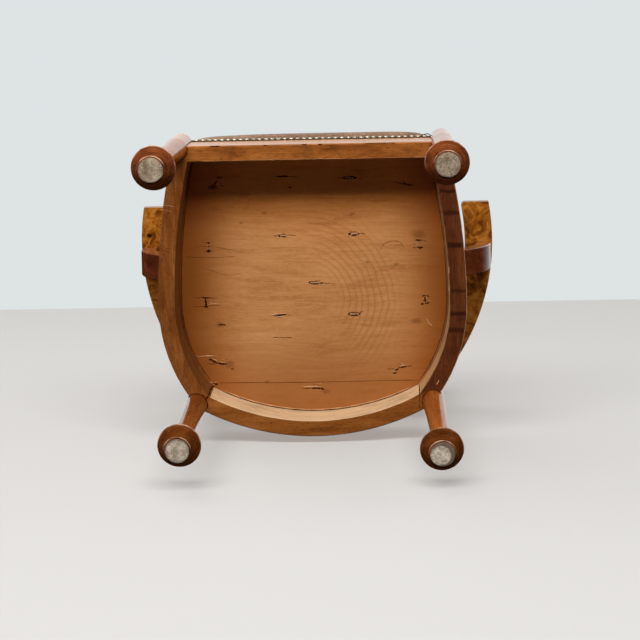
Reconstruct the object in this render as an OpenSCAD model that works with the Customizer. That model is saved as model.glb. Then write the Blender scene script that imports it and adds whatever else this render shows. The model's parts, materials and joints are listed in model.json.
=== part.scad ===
// Burl wood armchair: a bow-sided seat frame on turned legs, flat arms and a curved back.
// Millimetres, Z up, the front towards minus Y, the origin on the floor at the middle.

/* [Seat frame] */
// height of the underside of the seat rails above the floor
rail_z = 338; // [300:1:370]
// height of the seat rails
rail_h = 97; // [70:1:120]
// thickness of the front rail
front_rail_t = 27; // [20:1:36]
// thickness of the bowed side rails
side_rail_t = 30; // [22:1:38]
// thickness of the rear rail
rear_rail_t = 29; // [22:1:38]
// widest half width of the frame, at the outside of the side rails
frame_half_w = 272.5; // [230:0.5:310]
// distance of the widest place behind the face of the front rail
widest_y = 287; // [240:1:320]
// radius of the slack front part of each side rail
side_front_r = 1160; // [900:10:1500]
// radius of the tight rear part of each side rail
side_rear_r = 285; // [250:1:340]
// rear end of the frame behind the face of the front rail
frame_d = 522.5; // [470:0.5:570]
// distance of the middle of the rear legs inside the rear face of the rear rail
rear_leg_in = 4.7; // [3:0.1:8]
// width of the ledge that carries the seat board
ledge_w = 8; // [5:0.5:12]

/* [Legs and feet] */
// diameter of the top of a leg
leg_top_d = 39; // [32:0.5:46]
// diameter of a leg just above its foot
leg_low_d = 30; // [24:0.5:36]
// distance of the middle of the front legs inside the outer face of the side rails
front_leg_in = 5.4; // [3:0.1:9]
// distance of the front legs behind the face of the front rail
front_leg_y = 4.5; // [0:0.5:12]
// distance of the middle of the rear legs inside the outer face of the side rails
side_leg_in = 1.75; // [0:0.05:5]
// distance of the middle of the rear legs in front of the rear end of the frame
rear_gap = 61.5; // [45:0.5:75]
// diameter of the flared foot at its widest
foot_d = 72; // [56:1:84]
// height of the foot above the felt
foot_h = 52; // [36:1:60]
// diameter of the flat under the foot
foot_base_d = 46; // [40:1:52]
// height of the widest place of the foot
foot_wide_z = 40; // [30:0.5:46]
// distance of the front feet behind the tops of their legs
front_foot_back = 2.6; // [0:0.1:10]
// distance of the left front foot outside the top of its leg
front_left_out = -2; // [-8:0.1:8]
// distance of the right front foot outside the top of its leg
front_right_out = 5.8; // [-8:0.1:8]
// distance of the left rear foot behind the top of its leg
rear_left_back = 12.8; // [0:0.1:20]
// distance of the left rear foot outside the top of its leg
rear_left_out = 5.7; // [-8:0.1:8]
// distance of the right rear foot behind the top of its leg
rear_right_back = 1; // [0:0.1:20]
// distance of the right rear foot outside the top of its leg
rear_right_out = 1; // [-8:0.1:8]
// diameter of the felt pad
felt_d = 40; // [30:1:44]
// thickness of the felt pad
felt_t = 3.5; // [2:0.5:6]

/* [Seat] */
// thickness of the plywood seat board
board_t = 18; // [12:1:21]
// thickness of the strips along the side rails
strip_t = 3; // [2:0.5:6]
// height of the strips along the side rails
strip_h = 9; // [6:1:20]
// distance of the strip ends from the front rail and the rear legs
strip_end = 8; // [4:1:30]
// height of the top of the seat above the rails at its middle
seat_h = 51; // [35:1:70]
// height of the widest place of the leather above the rails
bulge_z = 15; // [10:1:24]
// overhang of the leather in front of the front rail
front_bulge = 10; // [6:0.5:16]
// distance of the leather inside the rails at the sides and the rear
side_inset = 3; // [2:0.5:8]
// depth of the hollows at the buttons
tuft_depth = 13; // [6:1:18]
// reach of the hollows around the buttons
tuft_reach = 30; // [20:1:45]
// radius of the stuffing block
core_r = 196; // [160:1:205]
// height of the stuffing block
core_h = 17; // [10:1:22]
// diameter of the leather buttons
button_d = 19; // [14:1:24]
// thickness of the leather where it wraps over the front rail
skirt_t = 1.6; // [1.5:0.1:3]
// height of the leather edge below the top of the rails
skirt_h = 13; // [8:1:20]
// diameter of the domed nail heads
nail_d = 9.4; // [7:0.1:12]
// distance from nail to nail
nail_pitch = 11.3; // [9:0.1:16]
// distance of the nails below the top of the rails
nail_drop = 7; // [4:0.5:10]

/* [Arms] */
// height of the underside of the arms above the floor
arm_z = 614; // [580:1:660]
// thickness of the arms
arm_t = 22; // [16:1:30]
// distance of the outer edge of the arms outside the side rails
arm_over = 60.2; // [35:0.5:80]
// distance of the outer edge of the arms outside the middle of the back posts
arm_rear_out = 38.8; // [32:0.1:50]
// distance of the widest place of the arms behind the face of the front rail
arm_out_y = 213; // [160:1:240]
// distance of the inner edge of the arms inside the middle of the back posts
arm_rear_in = 6; // [2:0.5:12]
// width of an arm at its middle
arm_w = 51.7; // [40:1:64]
// distance of the arm fronts behind the face of the front rail
arm_front_y = 139.5; // [100:1:160]
// rounding of the front corners of the arms
arm_corner_r = 6; // [4:1:20]
// rounding along the edges of the arms
arm_edge_r = 4; // [1:0.5:8]
// width of an arm support from front to rear
support_w = 46; // [36:1:56]
// thickness of an arm support
support_t = 28; // [20:1:34]
// distance of the toe of an arm support inside the outer face of the side rail
support_toe = 1.1; // [0.5:0.1:4]
// height of the lower end of an arm support
support_low_z = 348; // [341:1:370]
// distance of the middle of the arm supports behind the front face, at the arms
support_y = 238.5; // [220:0.5:270]
// backward lean of the arm supports
support_lean = 5; // [0:0.1:9]

/* [Back] */
// width and depth of a back post
post_w = 27; // [22:0.5:27]
// backward rake of the back
back_rake = 3; // [0:0.1:8]
// length of the back posts along the rake
post_l = 345; // [300:1:400]
// depth of the bow of the back
back_bow = 38; // [20:1:50]
// thickness of the back panel
panel_t = 18; // [14:1:22]
// height of the back panel
panel_h = 212; // [140:1:240]
// width of the cap on the back
cap_w = 34; // [28:1:40]
// height of the cap on the back
cap_h = 15; // [10:1:22]
// width of the bead under the panel
bead_w = 25; // [22:1:30]
// height of the bead under the panel
bead_h = 11; // [8:1:16]

/* [Fits] */
// clearance around dowels and at coped ends
fit = 0.1; // [0.05:0.05:0.3]
// diameter of the dowels in the rails and arms
dowel_d = 8; // [6:0.5:10]
// diameter of the upright dowels in the legs
pin_d = 10; // [8:0.5:12]
// length of the dowels between the rails and the legs
rail_dowel_l = 46; // [36:1:54]
// length of the dowels between the legs and the feet
foot_dowel_l = 48; // [36:1:60]
// length of the dowels between the rear legs and the back posts
post_dowel_l = 44; // [34:1:56]
// length of the dowels from the supports into the arms
arm_dowel_l = 34; // [26:1:36]
// length of the dowels from the back posts into the arms
arm_side_dowel_l = 24; // [18:1:28]
// length of the dowels between the back posts and the panel
back_dowel_l = 34; // [24:1:40]
// length of the dowels between the back posts and the cap
cap_dowel_l = 29; // [22:1:32]

/* [Hidden] */
$fn = 96;

wood = [0.72, 0.45, 0.21];
burl = [0.66, 0.40, 0.16];
dark = [0.30, 0.12, 0.07];
ply = [0.76, 0.53, 0.30];
hide = [0.42, 0.30, 0.23];
brass = [0.72, 0.55, 0.25];
cloth = [0.55, 0.52, 0.47];
twine = [0.62, 0.47, 0.30];

rail_top = rail_z + rail_h;
board_z = rail_top - board_t;
edge = 2;
edge_cut = 1.5;
arm_end = 24;
cap_cut = 3;
side_front_x = frame_half_w - side_front_r;
side_rear_x = frame_half_w - side_rear_r;
rear_leg_y = frame_d - rear_gap;
front_leg_x = side_front_x + sqrt(pow(side_front_r - front_leg_in, 2) - pow(widest_y - front_leg_y, 2));
rear_leg_x = side_rear_x + sqrt(pow(side_rear_r - side_leg_in, 2) - pow(rear_leg_y - widest_y, 2));
rear_r = (pow(rear_leg_x, 2) + pow(rear_gap, 2) - pow(rear_leg_in, 2)) / (2 * (rear_gap - rear_leg_in));
rear_c_y = frame_d - rear_r;
back_reach = rear_leg_y + back_bow + cap_w / 2 + (post_l + cap_h) * sin(back_rake);
front_reach = foot_d / 2 - front_leg_y - front_foot_back;
front_y = -(max(back_reach, frame_d) - front_reach) / 2;
arm_half_w = frame_half_w + arm_over;
arm_in_y = arm_out_y + 7;
arm_out_r = bow_r(arm_half_w - rear_leg_x - arm_rear_out, rear_leg_y - arm_out_y);
arm_in_r = bow_r(arm_half_w - arm_w - rear_leg_x + arm_rear_in, rear_leg_y - arm_in_y);
arm_out_x = arm_half_w - arm_out_r;
arm_in_x = arm_half_w - arm_w - arm_in_r;
arm_mid_x = arm_half_w - arm_w / 2;
support_top_x = arm_half_w - 5.2;
support_c_z = arm_z - 14;
support_r = bow_r(support_top_x - frame_half_w + support_toe, support_c_z - support_low_z);
support_a = asin((support_c_z - support_low_z) / (support_r - support_t)) + 1;
back_r = bow_r(back_bow, rear_leg_x);
side_sweep = round(10 * asin((widest_y - front_leg_y) / side_front_r) + 1) / 10;
panel_z = post_l - panel_h;
nail_h = 2.4;
nail_r = (nail_d * nail_d / 4 + nail_h * nail_h) / (2 * nail_h);
panel_a = asin((rear_leg_x - post_w / 2) / back_r);
end_a = asin((rear_leg_y - widest_y - leg_top_d / 2) / (side_rear_r - side_rail_t / 2)) + 1;
corner_x = side_front_x + sqrt(pow(side_front_r - side_rail_t, 2) - pow(widest_y - front_rail_t, 2));
mitre_a = atan2(front_rail_t - front_leg_y, corner_x - front_leg_x);
rear_a = atan(rear_leg_x / (rear_leg_y - rear_c_y)) - 2.4;
mid_y = frame_d / 2 - 6.25;
feet = [[front_leg_x + front_left_out, front_leg_y + front_foot_back],
    [-front_leg_x - front_right_out, front_leg_y + front_foot_back],
    [rear_leg_x + rear_left_out, rear_leg_y + rear_left_back],
    [-rear_leg_x - rear_right_out, rear_leg_y + rear_right_back]];
tuft_marks = [[-171, 73], [-52, 64], [62, 66], [170, 78], [-190, 190], [-60, 170], [70, 169], [191, 191],
    [2, 257], [-196, 290], [-67, 316], [71, 315], [199, 292], [-172, 398], [158, 412], [-3, 446]];
tufts = [for (t = tuft_marks) [t[0] * frame_half_w / 272.5, t[1] * frame_d / 522.5]];
dowel_front = [16, 56];
dowel_side = [34, 70];
side_dowel_out = 6;
foot_pin = 22;
post_pin = 20;

// Radius of an arc that falls away by the given amount over the given run from its crown.
function bow_r(fall, run) = (fall * fall + run * run) / (2 * fall);

// A rectangle with its four corners cut away by the given amount.
module eased(w, h, cut) {
    polygon([[cut, 0], [w - cut, 0], [w, cut], [w, h - cut], [w - cut, h], [cut, h], [0, h - cut], [0, cut]]);
}

// Places a thing whose distances start at the face of the front rail.
module placed() {
    translate([0, front_y, 0])
        children();
}

// Turns a thing drawn for the sitter's left into the one for the given side.
module sided(side) {
    mirror([side < 0 ? 1 : 0, 0, 0])
        children();
}

// Section of a rail: the inner side at 0, the outer side at t, with the ledge for the board.
module rail_section(r, t) {
    polygon([[r, rail_z + edge / 2], [r + edge / 2, rail_z], [r + t - edge, rail_z], [r + t, rail_z + edge],
        [r + t, rail_top - edge / 2], [r + t - edge / 2, rail_top], [r + ledge_w, rail_top],
        [r + ledge_w, board_z], [r, board_z]]);
}

// The four legs as plain round posts, a little larger by the given amount.
module leg_space(grow) {
    for (s = [-1, 1]) {
        translate([s * front_leg_x, front_leg_y, rail_z - 20])
            cylinder(d = leg_top_d + 2 * grow, h = rail_h + 60);
        translate([s * rear_leg_x, rear_leg_y, rail_z - 20])
            cylinder(d = leg_top_d + 2 * grow, h = rail_h + 60);
    }
}

// One side of the mitre behind a front leg: the front rail lies on the first side, the side rail on the other.
module mitre_space(first) {
    translate([front_leg_x, front_leg_y, rail_z - 10])
        rotate([0, 0, mitre_a])
            translate([-60, first ? 0 : -200, 0])
                cube([160, 200, rail_h + 20]);
}

// Dowels between rails and legs, larger by the given amount all round.
module rail_dowel_set(grow) {
    for (s = [-1, 1])
        sided(s) {
            for (z = dowel_front)
                translate([front_leg_x + 3 - rail_dowel_l, front_rail_t / 2 - 1, rail_z + z])
                    rotate([0, 90, 0])
                        cylinder(d = dowel_d + 2 * grow, h = rail_dowel_l + grow);
            for (z = dowel_side) {
                translate([front_leg_x - 6, front_leg_y - 2, rail_z + z])
                    rotate([-90, 0, 0])
                        cylinder(d = dowel_d + 2 * grow, h = rail_dowel_l + grow);
                translate([side_rear_x, widest_y, 0])
                    rotate([0, 0, end_a])
                        translate([side_rear_r - side_rail_t / 2 + side_dowel_out, 20, rail_z + z])
                            rotate([90, 0, 0])
                                cylinder(d = dowel_d + 2 * grow, h = rail_dowel_l + grow);
            }
            for (z = dowel_front)
                translate([0, rear_c_y, 0])
                    rotate([0, 0, -rear_a])
                        translate([20 - rail_dowel_l, rear_r - rear_rail_t / 2, rail_z + z])
                            rotate([0, 90, 0])
                                cylinder(d = dowel_d + 2 * grow, h = rail_dowel_l + grow);
        }
}

module rail_dowels() {
    color(wood)
        placed()
            rail_dowel_set(0);
}

module front_rail() {
    color(wood)
        placed()
            difference() {
                translate([front_leg_x, front_rail_t, 0])
                    rotate([90, 0, -90])
                        linear_extrude(2 * front_leg_x)
                            rail_section(0, front_rail_t);
                for (s = [-1, 1])
                    sided(s)
                        mitre_space(false);
                leg_space(fit);
                rail_dowel_set(fit);
            }
}

module rear_rail() {
    color(wood)
        placed()
            difference() {
                translate([0, rear_c_y, 0])
                    rotate([0, 0, 90 - rear_a - 2.5])
                        rotate_extrude(angle = 2 * rear_a + 5, $fn = 192)
                            rail_section(rear_r - rear_rail_t, rear_rail_t);
                leg_space(fit);
                rail_dowel_set(fit);
            }
}

module side_rail(side) {
    color(wood)
        placed()
            sided(side)
                difference() {
                    union() {
                        translate([side_front_x, widest_y, 0])
                            rotate([0, 0, -side_sweep])
                                rotate_extrude(angle = side_sweep, $fn = 480)
                                    rail_section(side_front_r - side_rail_t, side_rail_t);
                        translate([side_rear_x, widest_y, 0])
                            rotate_extrude(angle = end_a + 3, $fn = 192)
                                rail_section(side_rear_r - side_rail_t, side_rail_t);
                    }
                    mitre_space(true);
                    leg_space(fit);
                    rail_dowel_set(fit);
                    support_dowel_set(fit);
                }
}

module side_rail_left() {
    side_rail(1);
}

module side_rail_right() {
    side_rail(-1);
}

// A turned leg: straight through the rails, then tapering down to the foot, which stands a little to one side.
module leg(x, y, foot_at, posted) {
    low_z = felt_t + foot_h;
    turn_z = rail_z - 8;
    off = foot_at - [x, y];
    color(wood)
        placed()
            difference() {
                union() {
                    translate([x, y, 0])
                        rotate_extrude()
                            polygon([[0, turn_z], [leg_top_d / 2, turn_z], [leg_top_d / 2, rail_top - edge],
                                [leg_top_d / 2 - (posted ? 0 : edge), rail_top], [0, rail_top]]);
                    translate([x, y, turn_z])
                        rotate([0, 0, atan2(off[1], off[0])])
                            rotate([0, -atan(norm(off) / (turn_z - low_z)), 0])
                                rotate_extrude()
                                    polygon([[0, low_z - turn_z - 12], [leg_low_d / 2 - 0.2, low_z - turn_z - 12],
                                        [leg_low_d / 2, low_z - turn_z], [leg_top_d / 2 - 0.05, 0],
                                        [leg_top_d / 2 - 3, 20], [0, 20]]);
                }
                translate([foot_at[0] - leg_top_d, foot_at[1] - leg_top_d, low_z - 40])
                    cube([2 * leg_top_d, 2 * leg_top_d, 40]);
                rail_dowel_set(fit);
                translate([foot_at[0], foot_at[1], low_z - 1])
                    cylinder(d = pin_d + 2 * fit, h = foot_dowel_l - foot_pin + 1 + fit);
                if (posted)
                    translate([x, y, rail_top - post_pin - fit])
                        cylinder(d = pin_d + 2 * fit, h = post_dowel_l);
            }
}

module leg_front_left() {
    leg(front_leg_x, front_leg_y, feet[0], false);
}

module leg_front_right() {
    leg(-front_leg_x, front_leg_y, feet[1], false);
}

module leg_rear_left() {
    leg(rear_leg_x, rear_leg_y, feet[2], true);
}

module leg_rear_right() {
    leg(-rear_leg_x, rear_leg_y, feet[3], true);
}

// A flared foot: a small flat below, a hollow flare out to a thin rounded rim and a hollow neck above.
module foot(place) {
    rim = 2.5;
    color(dark)
        placed()
            translate([place[0], place[1], felt_t])
                difference() {
                    rotate_extrude()
                        polygon(concat(
                            [[0, 0], [foot_base_d / 2 - 1, 0], [foot_base_d / 2, 1]],
                            [for (i = [0 : 5])
                                let (k = i / 6)
                                [foot_base_d / 2 + (foot_d / 2 - 1.6 - foot_base_d / 2) * pow(k, 1.4),
                                    4 + (foot_wide_z - felt_t - 6.5) * k]],
                            [for (a = [-60 : 20 : 80])
                                [foot_d / 2 - rim + rim * cos(a), foot_wide_z - felt_t + rim * sin(a)]],
                            [for (i = [1 : 6])
                                let (k = i / 7)
                                [leg_low_d / 2 + 1 + (foot_d / 2 - leg_low_d / 2 - 4) * pow(1 - k, 2.2),
                                    foot_wide_z - felt_t + rim + (foot_h - foot_wide_z + felt_t - rim - 1) * k]],
                            [[leg_low_d / 2 + 1, foot_h - 1], [leg_low_d / 2, foot_h], [0, foot_h]]));
                    translate([0, 0, foot_h - foot_pin - fit])
                        cylinder(d = pin_d + 2 * fit, h = foot_dowel_l);
                }
}

module foot_front_left() {
    foot(feet[0]);
}

module foot_front_right() {
    foot(feet[1]);
}

module foot_rear_left() {
    foot(feet[2]);
}

module foot_rear_right() {
    foot(feet[3]);
}

module felt(place) {
    color(cloth)
        placed()
            translate([place[0], place[1], 0])
                cylinder(d = felt_d, h = felt_t);
}

module felt_front_left() {
    felt(feet[0]);
}

module felt_front_right() {
    felt(feet[1]);
}

module felt_rear_left() {
    felt(feet[2]);
}

module felt_rear_right() {
    felt(feet[3]);
}

module foot_dowels() {
    color(wood)
        placed()
            for (p = feet)
                translate([p[0], p[1], felt_t + foot_h - foot_pin])
                    cylinder(d = pin_d, h = foot_dowel_l);
}

module post_dowels() {
    color(wood)
        placed()
            for (s = [-1, 1])
                translate([s * rear_leg_x, rear_leg_y, rail_top - post_pin])
                    cylinder(d = pin_d, h = post_dowel_l);
}

// Outline inside the rails, moved outwards by the given amount.
module well(grow) {
    difference() {
        intersection() {
            union() {
                intersection() {
                    translate([side_front_x, widest_y])
                        circle(r = side_front_r - side_rail_t + grow, $fn = 720);
                    translate([-side_front_x, widest_y])
                        circle(r = side_front_r - side_rail_t + grow, $fn = 720);
                    translate([-2 * frame_half_w, -frame_d])
                        square([4 * frame_half_w, frame_d + widest_y + 1]);
                }
                intersection() {
                    translate([side_rear_x, widest_y])
                        circle(r = side_rear_r - side_rail_t + grow, $fn = 240);
                    translate([-side_rear_x, widest_y])
                        circle(r = side_rear_r - side_rail_t + grow, $fn = 240);
                    translate([0, rear_c_y])
                        circle(r = rear_r - rear_rail_t + grow, $fn = 240);
                    translate([-2 * frame_half_w, widest_y])
                        square([4 * frame_half_w, frame_d]);
                }
            }
            translate([-2 * frame_half_w, front_rail_t - grow])
                square([4 * frame_half_w, 2 * frame_d]);
        }
        for (s = [-1, 1]) {
            translate([s * front_leg_x, front_leg_y])
                circle(d = leg_top_d + 4 * fit);
            translate([s * rear_leg_x, rear_leg_y])
                circle(d = leg_top_d + 4 * fit);
        }
    }
}

module seat_panel() {
    color(ply)
        placed()
            translate([0, 0, board_z])
                linear_extrude(board_t)
                    well(ledge_w - 2 * fit);
}

// A thin strip against the inner side of a side rail, in two lengths that meet at the widest place.
module ledger(side) {
    front_in = side_front_r - side_rail_t - strip_t;
    rear_in = side_rear_r - side_rail_t - strip_t;
    front_a = asin((widest_y - front_rail_t - strip_end) / front_in);
    rear_end = asin((rear_leg_y - widest_y - leg_top_d / 2 - 3 * strip_end) / rear_in);
    color(ply)
        placed()
            sided(side) {
                translate([side_front_x, widest_y, 0])
                    rotate([0, 0, -front_a])
                        rotate_extrude(angle = front_a - 0.01, $fn = 480)
                            translate([front_in, board_z - strip_h])
                                square([strip_t, strip_h]);
                translate([side_rear_x, widest_y, 0])
                    rotate_extrude(angle = rear_end, $fn = 192)
                        translate([rear_in, board_z - strip_h])
                            square([strip_t, strip_h]);
            }
}

module ledger_left() {
    ledger(1);
}

module ledger_right() {
    ledger(-1);
}

module seat_core() {
    color(cloth)
        placed()
            translate([0, mid_y, rail_top])
                cylinder(r = core_r, h = core_h);
}

// Distance from the middle of the seat along a direction to a circle around the middle.
function reach(dx, dy, cx, cy, r) =
    let (b = dx * cx + dy * (cy - mid_y), c = cx * cx + (cy - mid_y) * (cy - mid_y) - r * r)
    b + sqrt(b * b - c);

// Outline of the leather: the frame outline with soft corners, drawn in around the back posts.
function cover_r(a) =
    let (dx = cos(a), dy = sin(a), p = 13,
        rear_side = side_rear_r - side_inset,
        front = (mid_y + front_bulge) / max(0.01, -dy),
        side = dy > 0.12 ? reach(abs(dx), dy, side_rear_x, widest_y, rear_side)
            : reach(abs(dx), dy, side_front_x, widest_y, side_front_r - side_inset),
        rear = reach(dx, dy, 0, rear_c_y, rear_r - side_inset),
        off = abs(abs(atan2(dy, abs(dx))) - post_a),
        notch = dy > 0 ? 9 * exp(-off * off / 30) : 0)
    pow(pow(1 / front, p) + pow(1 / side, p) + pow(1 / rear, p), -1 / p) - notch;

post_a = atan((rear_leg_y - mid_y) / rear_leg_x);

// Height of the top of the leather at a place, with the hollows at the buttons.
function cover_z(x, y, k) =
    rail_top + seat_h - 14 * pow(k, 3) - tuft_depth * min(1, tuft_sum(x, y)) * (1 - pow(k, 8));

function tuft_sum(x, y) =
    max([for (t = tufts) exp(-((x - t[0]) * (x - t[0]) + (y - t[1]) * (y - t[1])) / (tuft_reach * tuft_reach / 3))]);

rim_steps = [[8, 0], [2.5, 5], [0, 15], [2, 24], [8, 31]];
top_steps = [0.98, 0.92, 0.82, 0.7, 0.57, 0.43, 0.29, 0.15];
turns = 60;

// The crowned, buttoned leather body as a closed surface.
module cover_body() {
    rims = len(rim_steps);
    tops = len(top_steps);
    ring_points = [for (i = [0 : rims - 1]) for (j = [0 : turns - 1])
        let (a = j * 360 / turns, r = cover_r(a) - rim_steps[i][0])
        [r * cos(a), mid_y + r * sin(a), rail_top + rim_steps[i][1]]];
    top_points = [for (k = top_steps) for (j = [0 : turns - 1])
        let (a = j * 360 / turns, r = (cover_r(a) - 8) * k, x = r * cos(a), y = mid_y + r * sin(a))
        [x, y, cover_z(x, y, k)]];
    last = (rims + tops) * turns;
    points = concat(ring_points, top_points, [[0, mid_y, cover_z(0, mid_y, 0)], [0, mid_y, rail_top]]);
    sides = [for (i = [0 : rims + tops - 2]) for (j = [0 : turns - 1])
        let (n = (j + 1) % turns)
        [[i * turns + j, (i + 1) * turns + j, (i + 1) * turns + n],
            [i * turns + j, (i + 1) * turns + n, i * turns + n]]];
    faces = concat([for (s = sides) s[0]], [for (s = sides) s[1]],
        [for (j = [0 : turns - 1]) [last, last - turns + (j + 1) % turns, last - turns + j]],
        [for (j = [0 : turns - 1]) [last + 1, j, (j + 1) % turns]]);
    polyhedron(points, faces, convexity = 6);
}

// Height of the flat under a button.
function button_z(t) = cover_z(t[0], t[1], 0.6) + 0.5;

module seat_cover() {
    color(hide)
        placed()
            difference() {
                union() {
                    cover_body();
                    translate([-front_leg_x + 10, -skirt_t, rail_top - skirt_h])
                        cube([2 * front_leg_x - 20, skirt_t, skirt_h + 1]);
                }
                leg_skirt_space();
                for (s = [-1, 1])
                    sided(s)
                        support_block(4 * fit);
                translate([0, mid_y, rail_top - 1])
                    cylinder(r = core_r + 3 * fit, h = core_h + 1 + 3 * fit, $fn = 60);
                for (t = tufts)
                    translate([t[0], t[1], button_z(t)])
                        cylinder(d = button_d + 4 * fit, h = 40, $fn = 14);
            }
}

// Room for the front legs beside the leather edge on the front rail.
module leg_skirt_space() {
    for (s = [-1, 1])
        translate([s * front_leg_x, front_leg_y, rail_z])
            cylinder(d = leg_top_d + 4 * fit, h = rail_h, $fn = 48);
}

module seat_buttons() {
    color(hide)
        placed()
            for (t = tufts)
                translate([t[0], t[1], button_z(t)])
                    rotate_extrude($fn = 24)
                        polygon([[0, 0], [button_d / 2, 0], [button_d / 2, 1.5], [button_d / 2 - 1.5, 3.6],
                            [button_d / 4, 5.4], [0, 6]]);
}

// Knots and tails of the button twine under the board.
module button_ties() {
    color(twine)
        placed()
            for (t = tufts)
                translate([t[0], t[1], board_z]) {
                    translate([0, 0, -3])
                        cylinder(d = 6, h = 3, $fn = 24);
                    translate([-14, -1.2, -1.8])
                        cube([28, 2.4, 1.8]);
                }
}

module front_nails() {
    count = floor((2 * (front_leg_x - leg_top_d / 2) - nail_d - 3) / nail_pitch / 2);
    color(brass)
        placed()
            for (i = [-count : count])
                translate([i * nail_pitch, -skirt_t, rail_top - nail_drop])
                    rotate([90, 0, 0])
                        intersection() {
                            translate([0, 0, nail_h - nail_r])
                                sphere(r = nail_r, $fn = 24);
                            cylinder(d = 2 * nail_d, h = 2 * nail_h, $fn = 24);
                        }
}

// Outer side of an arm: a flat round disc with rounded edges.
module arm_out() {
    translate([arm_out_x, arm_out_y, arm_z])
        rotate_extrude($fn = 240)
            hull_free_section(arm_out_r);
}

// Section of a flat disc of the given radius with rounded edges.
module hull_free_section(r) {
    square([r - arm_edge_r, arm_t]);
    translate([0, arm_edge_r])
        square([r, arm_t - 2 * arm_edge_r]);
    translate([r - arm_edge_r, arm_edge_r])
        circle(r = arm_edge_r, $fn = 24);
    translate([r - arm_edge_r, arm_t - arm_edge_r])
        circle(r = arm_edge_r, $fn = 24);
}

// Room inside an arm: a round disc that widens towards the top and the underside.
module arm_in() {
    translate([arm_in_x, arm_in_y, arm_z])
        rotate_extrude($fn = 240)
            difference() {
                translate([0, -1])
                    square([arm_in_r + arm_edge_r, arm_t + 2]);
                translate([arm_in_r, arm_edge_r])
                    square([2 * arm_edge_r, arm_t - 2 * arm_edge_r]);
                translate([arm_in_r + arm_edge_r, arm_edge_r])
                    circle(r = arm_edge_r, $fn = 24);
                translate([arm_in_r + arm_edge_r, arm_t - arm_edge_r])
                    circle(r = arm_edge_r, $fn = 24);
            }
}

// Front end of an arm seen from above, with its rounded corners.
module arm_front() {
    inner_x = arm_half_w - arm_w - 6;
    translate([0, 0, arm_z - 1])
        linear_extrude(arm_t + 2)
            union() {
                translate([inner_x + arm_corner_r, arm_front_y])
                    square([arm_half_w - inner_x - 2 * arm_corner_r, 80]);
                translate([inner_x, arm_front_y + arm_corner_r])
                    square([arm_half_w - inner_x, 80]);
                translate([inner_x + arm_corner_r, arm_front_y + arm_corner_r])
                    circle(r = arm_corner_r);
                translate([arm_half_w - 1 - arm_corner_r, arm_front_y + arm_corner_r])
                    circle(r = arm_corner_r);
                translate([rear_leg_x / 2, arm_front_y + 2 * arm_corner_r])
                    square([arm_half_w, frame_d]);
            }
}

// Places a thing in the frame of the raked back, its height counted along the posts.
module raked() {
    translate([0, rear_leg_y, rail_top])
        rotate([-back_rake, 0, 0])
            children();
}

// A back post and the room it takes, larger by the given amount.
module post_block(grow) {
    raked()
        translate([rear_leg_x - post_w / 2 - grow, -post_w / 2 - grow, -30])
            linear_extrude(post_l + 30)
                eased(post_w + 2 * grow, post_w + 2 * grow, edge_cut);
}

module arm(side) {
    color(burl)
        placed()
            sided(side)
                difference() {
                    intersection() {
                        arm_out();
                        arm_front();
                        translate([0, 0, arm_z - 1])
                            cube([2 * arm_half_w, rear_leg_y + arm_end, arm_t + 2]);
                    }
                    arm_in();
                    post_block(fit);
                    arm_dowel_set(fit);
                    translate([0, rear_leg_y - 14, arm_z - 1])
                        cube([rear_leg_x, 60, arm_t + 2]);
                }
}

module arm_left() {
    arm(1);
}

module arm_right() {
    arm(-1);
}

// Dowels from the supports and the back posts into the arms.
module arm_dowel_set(grow) {
    translate([support_top_x - support_t / 2, support_y, arm_z - 20 - grow])
        cylinder(d = pin_d + 2 * grow, h = arm_dowel_l + 2 * grow);
    translate([rear_leg_x + 1 - grow, rear_leg_y + 9, arm_z + arm_t / 2])
        rotate([0, 90, 0])
            cylinder(d = dowel_d + 2 * grow, h = arm_side_dowel_l + 2 * grow);
}

module arm_dowels() {
    color(wood)
        placed()
            for (s = [-1, 1])
                sided(s)
                    arm_dowel_set(0);
}

// The curved upright of an arm support, larger by the given amount.
module support_block(grow) {
    translate([0, support_y, arm_z])
        rotate([-support_lean, 0, 0])
            translate([support_top_x - support_r, support_w / 2 + grow, support_c_z - arm_z])
                rotate([90, 0, 0])
                    rotate([0, 0, -support_a])
                        rotate_extrude(angle = support_a + 3, $fn = 360)
                            translate([support_r - support_t - grow, 0])
                                eased(support_t + 2 * grow, support_w + 2 * grow, edge_cut);
}

// An arm support: a curved upright that leans back, lapped on the side rail below.
module arm_support(side) {
    color(dark)
        placed()
            sided(side)
                difference() {
                    support_block(0);
                    translate([0, 0, arm_z])
                        cube([2 * arm_half_w, frame_d, support_w + arm_t]);
                    translate([0, 0, support_low_z - rail_h])
                        cube([2 * arm_half_w, frame_d, rail_h]);
                    translate([side_front_x, widest_y, 0])
                        cylinder(r = side_front_r, h = rail_top, $fn = 1440);
                    support_dowel_set(fit);
                    arm_dowel_set(fit);
                }
}

module arm_support_left() {
    arm_support(1);
}

module arm_support_right() {
    arm_support(-1);
}

// Dowels from the side rails into the supports.
module support_dowel_set(grow) {
    for (z = [36, 64])
        translate([frame_half_w - 20 - grow, support_y - support_w / 2, rail_z + z])
            rotate([0, 90, 0])
                cylinder(d = dowel_d + 2 * grow, h = 1 + z / 4 + 16 + 2 * grow);
}

module support_dowels() {
    color(wood)
        placed()
            for (s = [-1, 1])
                sided(s)
                    support_dowel_set(0);
}

module back_post(side) {
    color(wood)
        placed()
            sided(side)
                difference() {
                    post_block(0);
                    translate([0, 0, rail_top - rail_h])
                        cube([2 * frame_half_w, 2 * frame_d, rail_h]);
                    translate([rear_leg_x, rear_leg_y, rail_top - 1])
                        cylinder(d = pin_d + 2 * fit, h = post_dowel_l - post_pin + 1 + fit);
                    arm_dowel_set(fit);
                    raked()
                        back_dowel_set(fit);
                    raked()
                        cap_dowel_set(fit);
                }
}

module back_post_left() {
    back_post(1);
}

module back_post_right() {
    back_post(-1);
}

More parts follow.
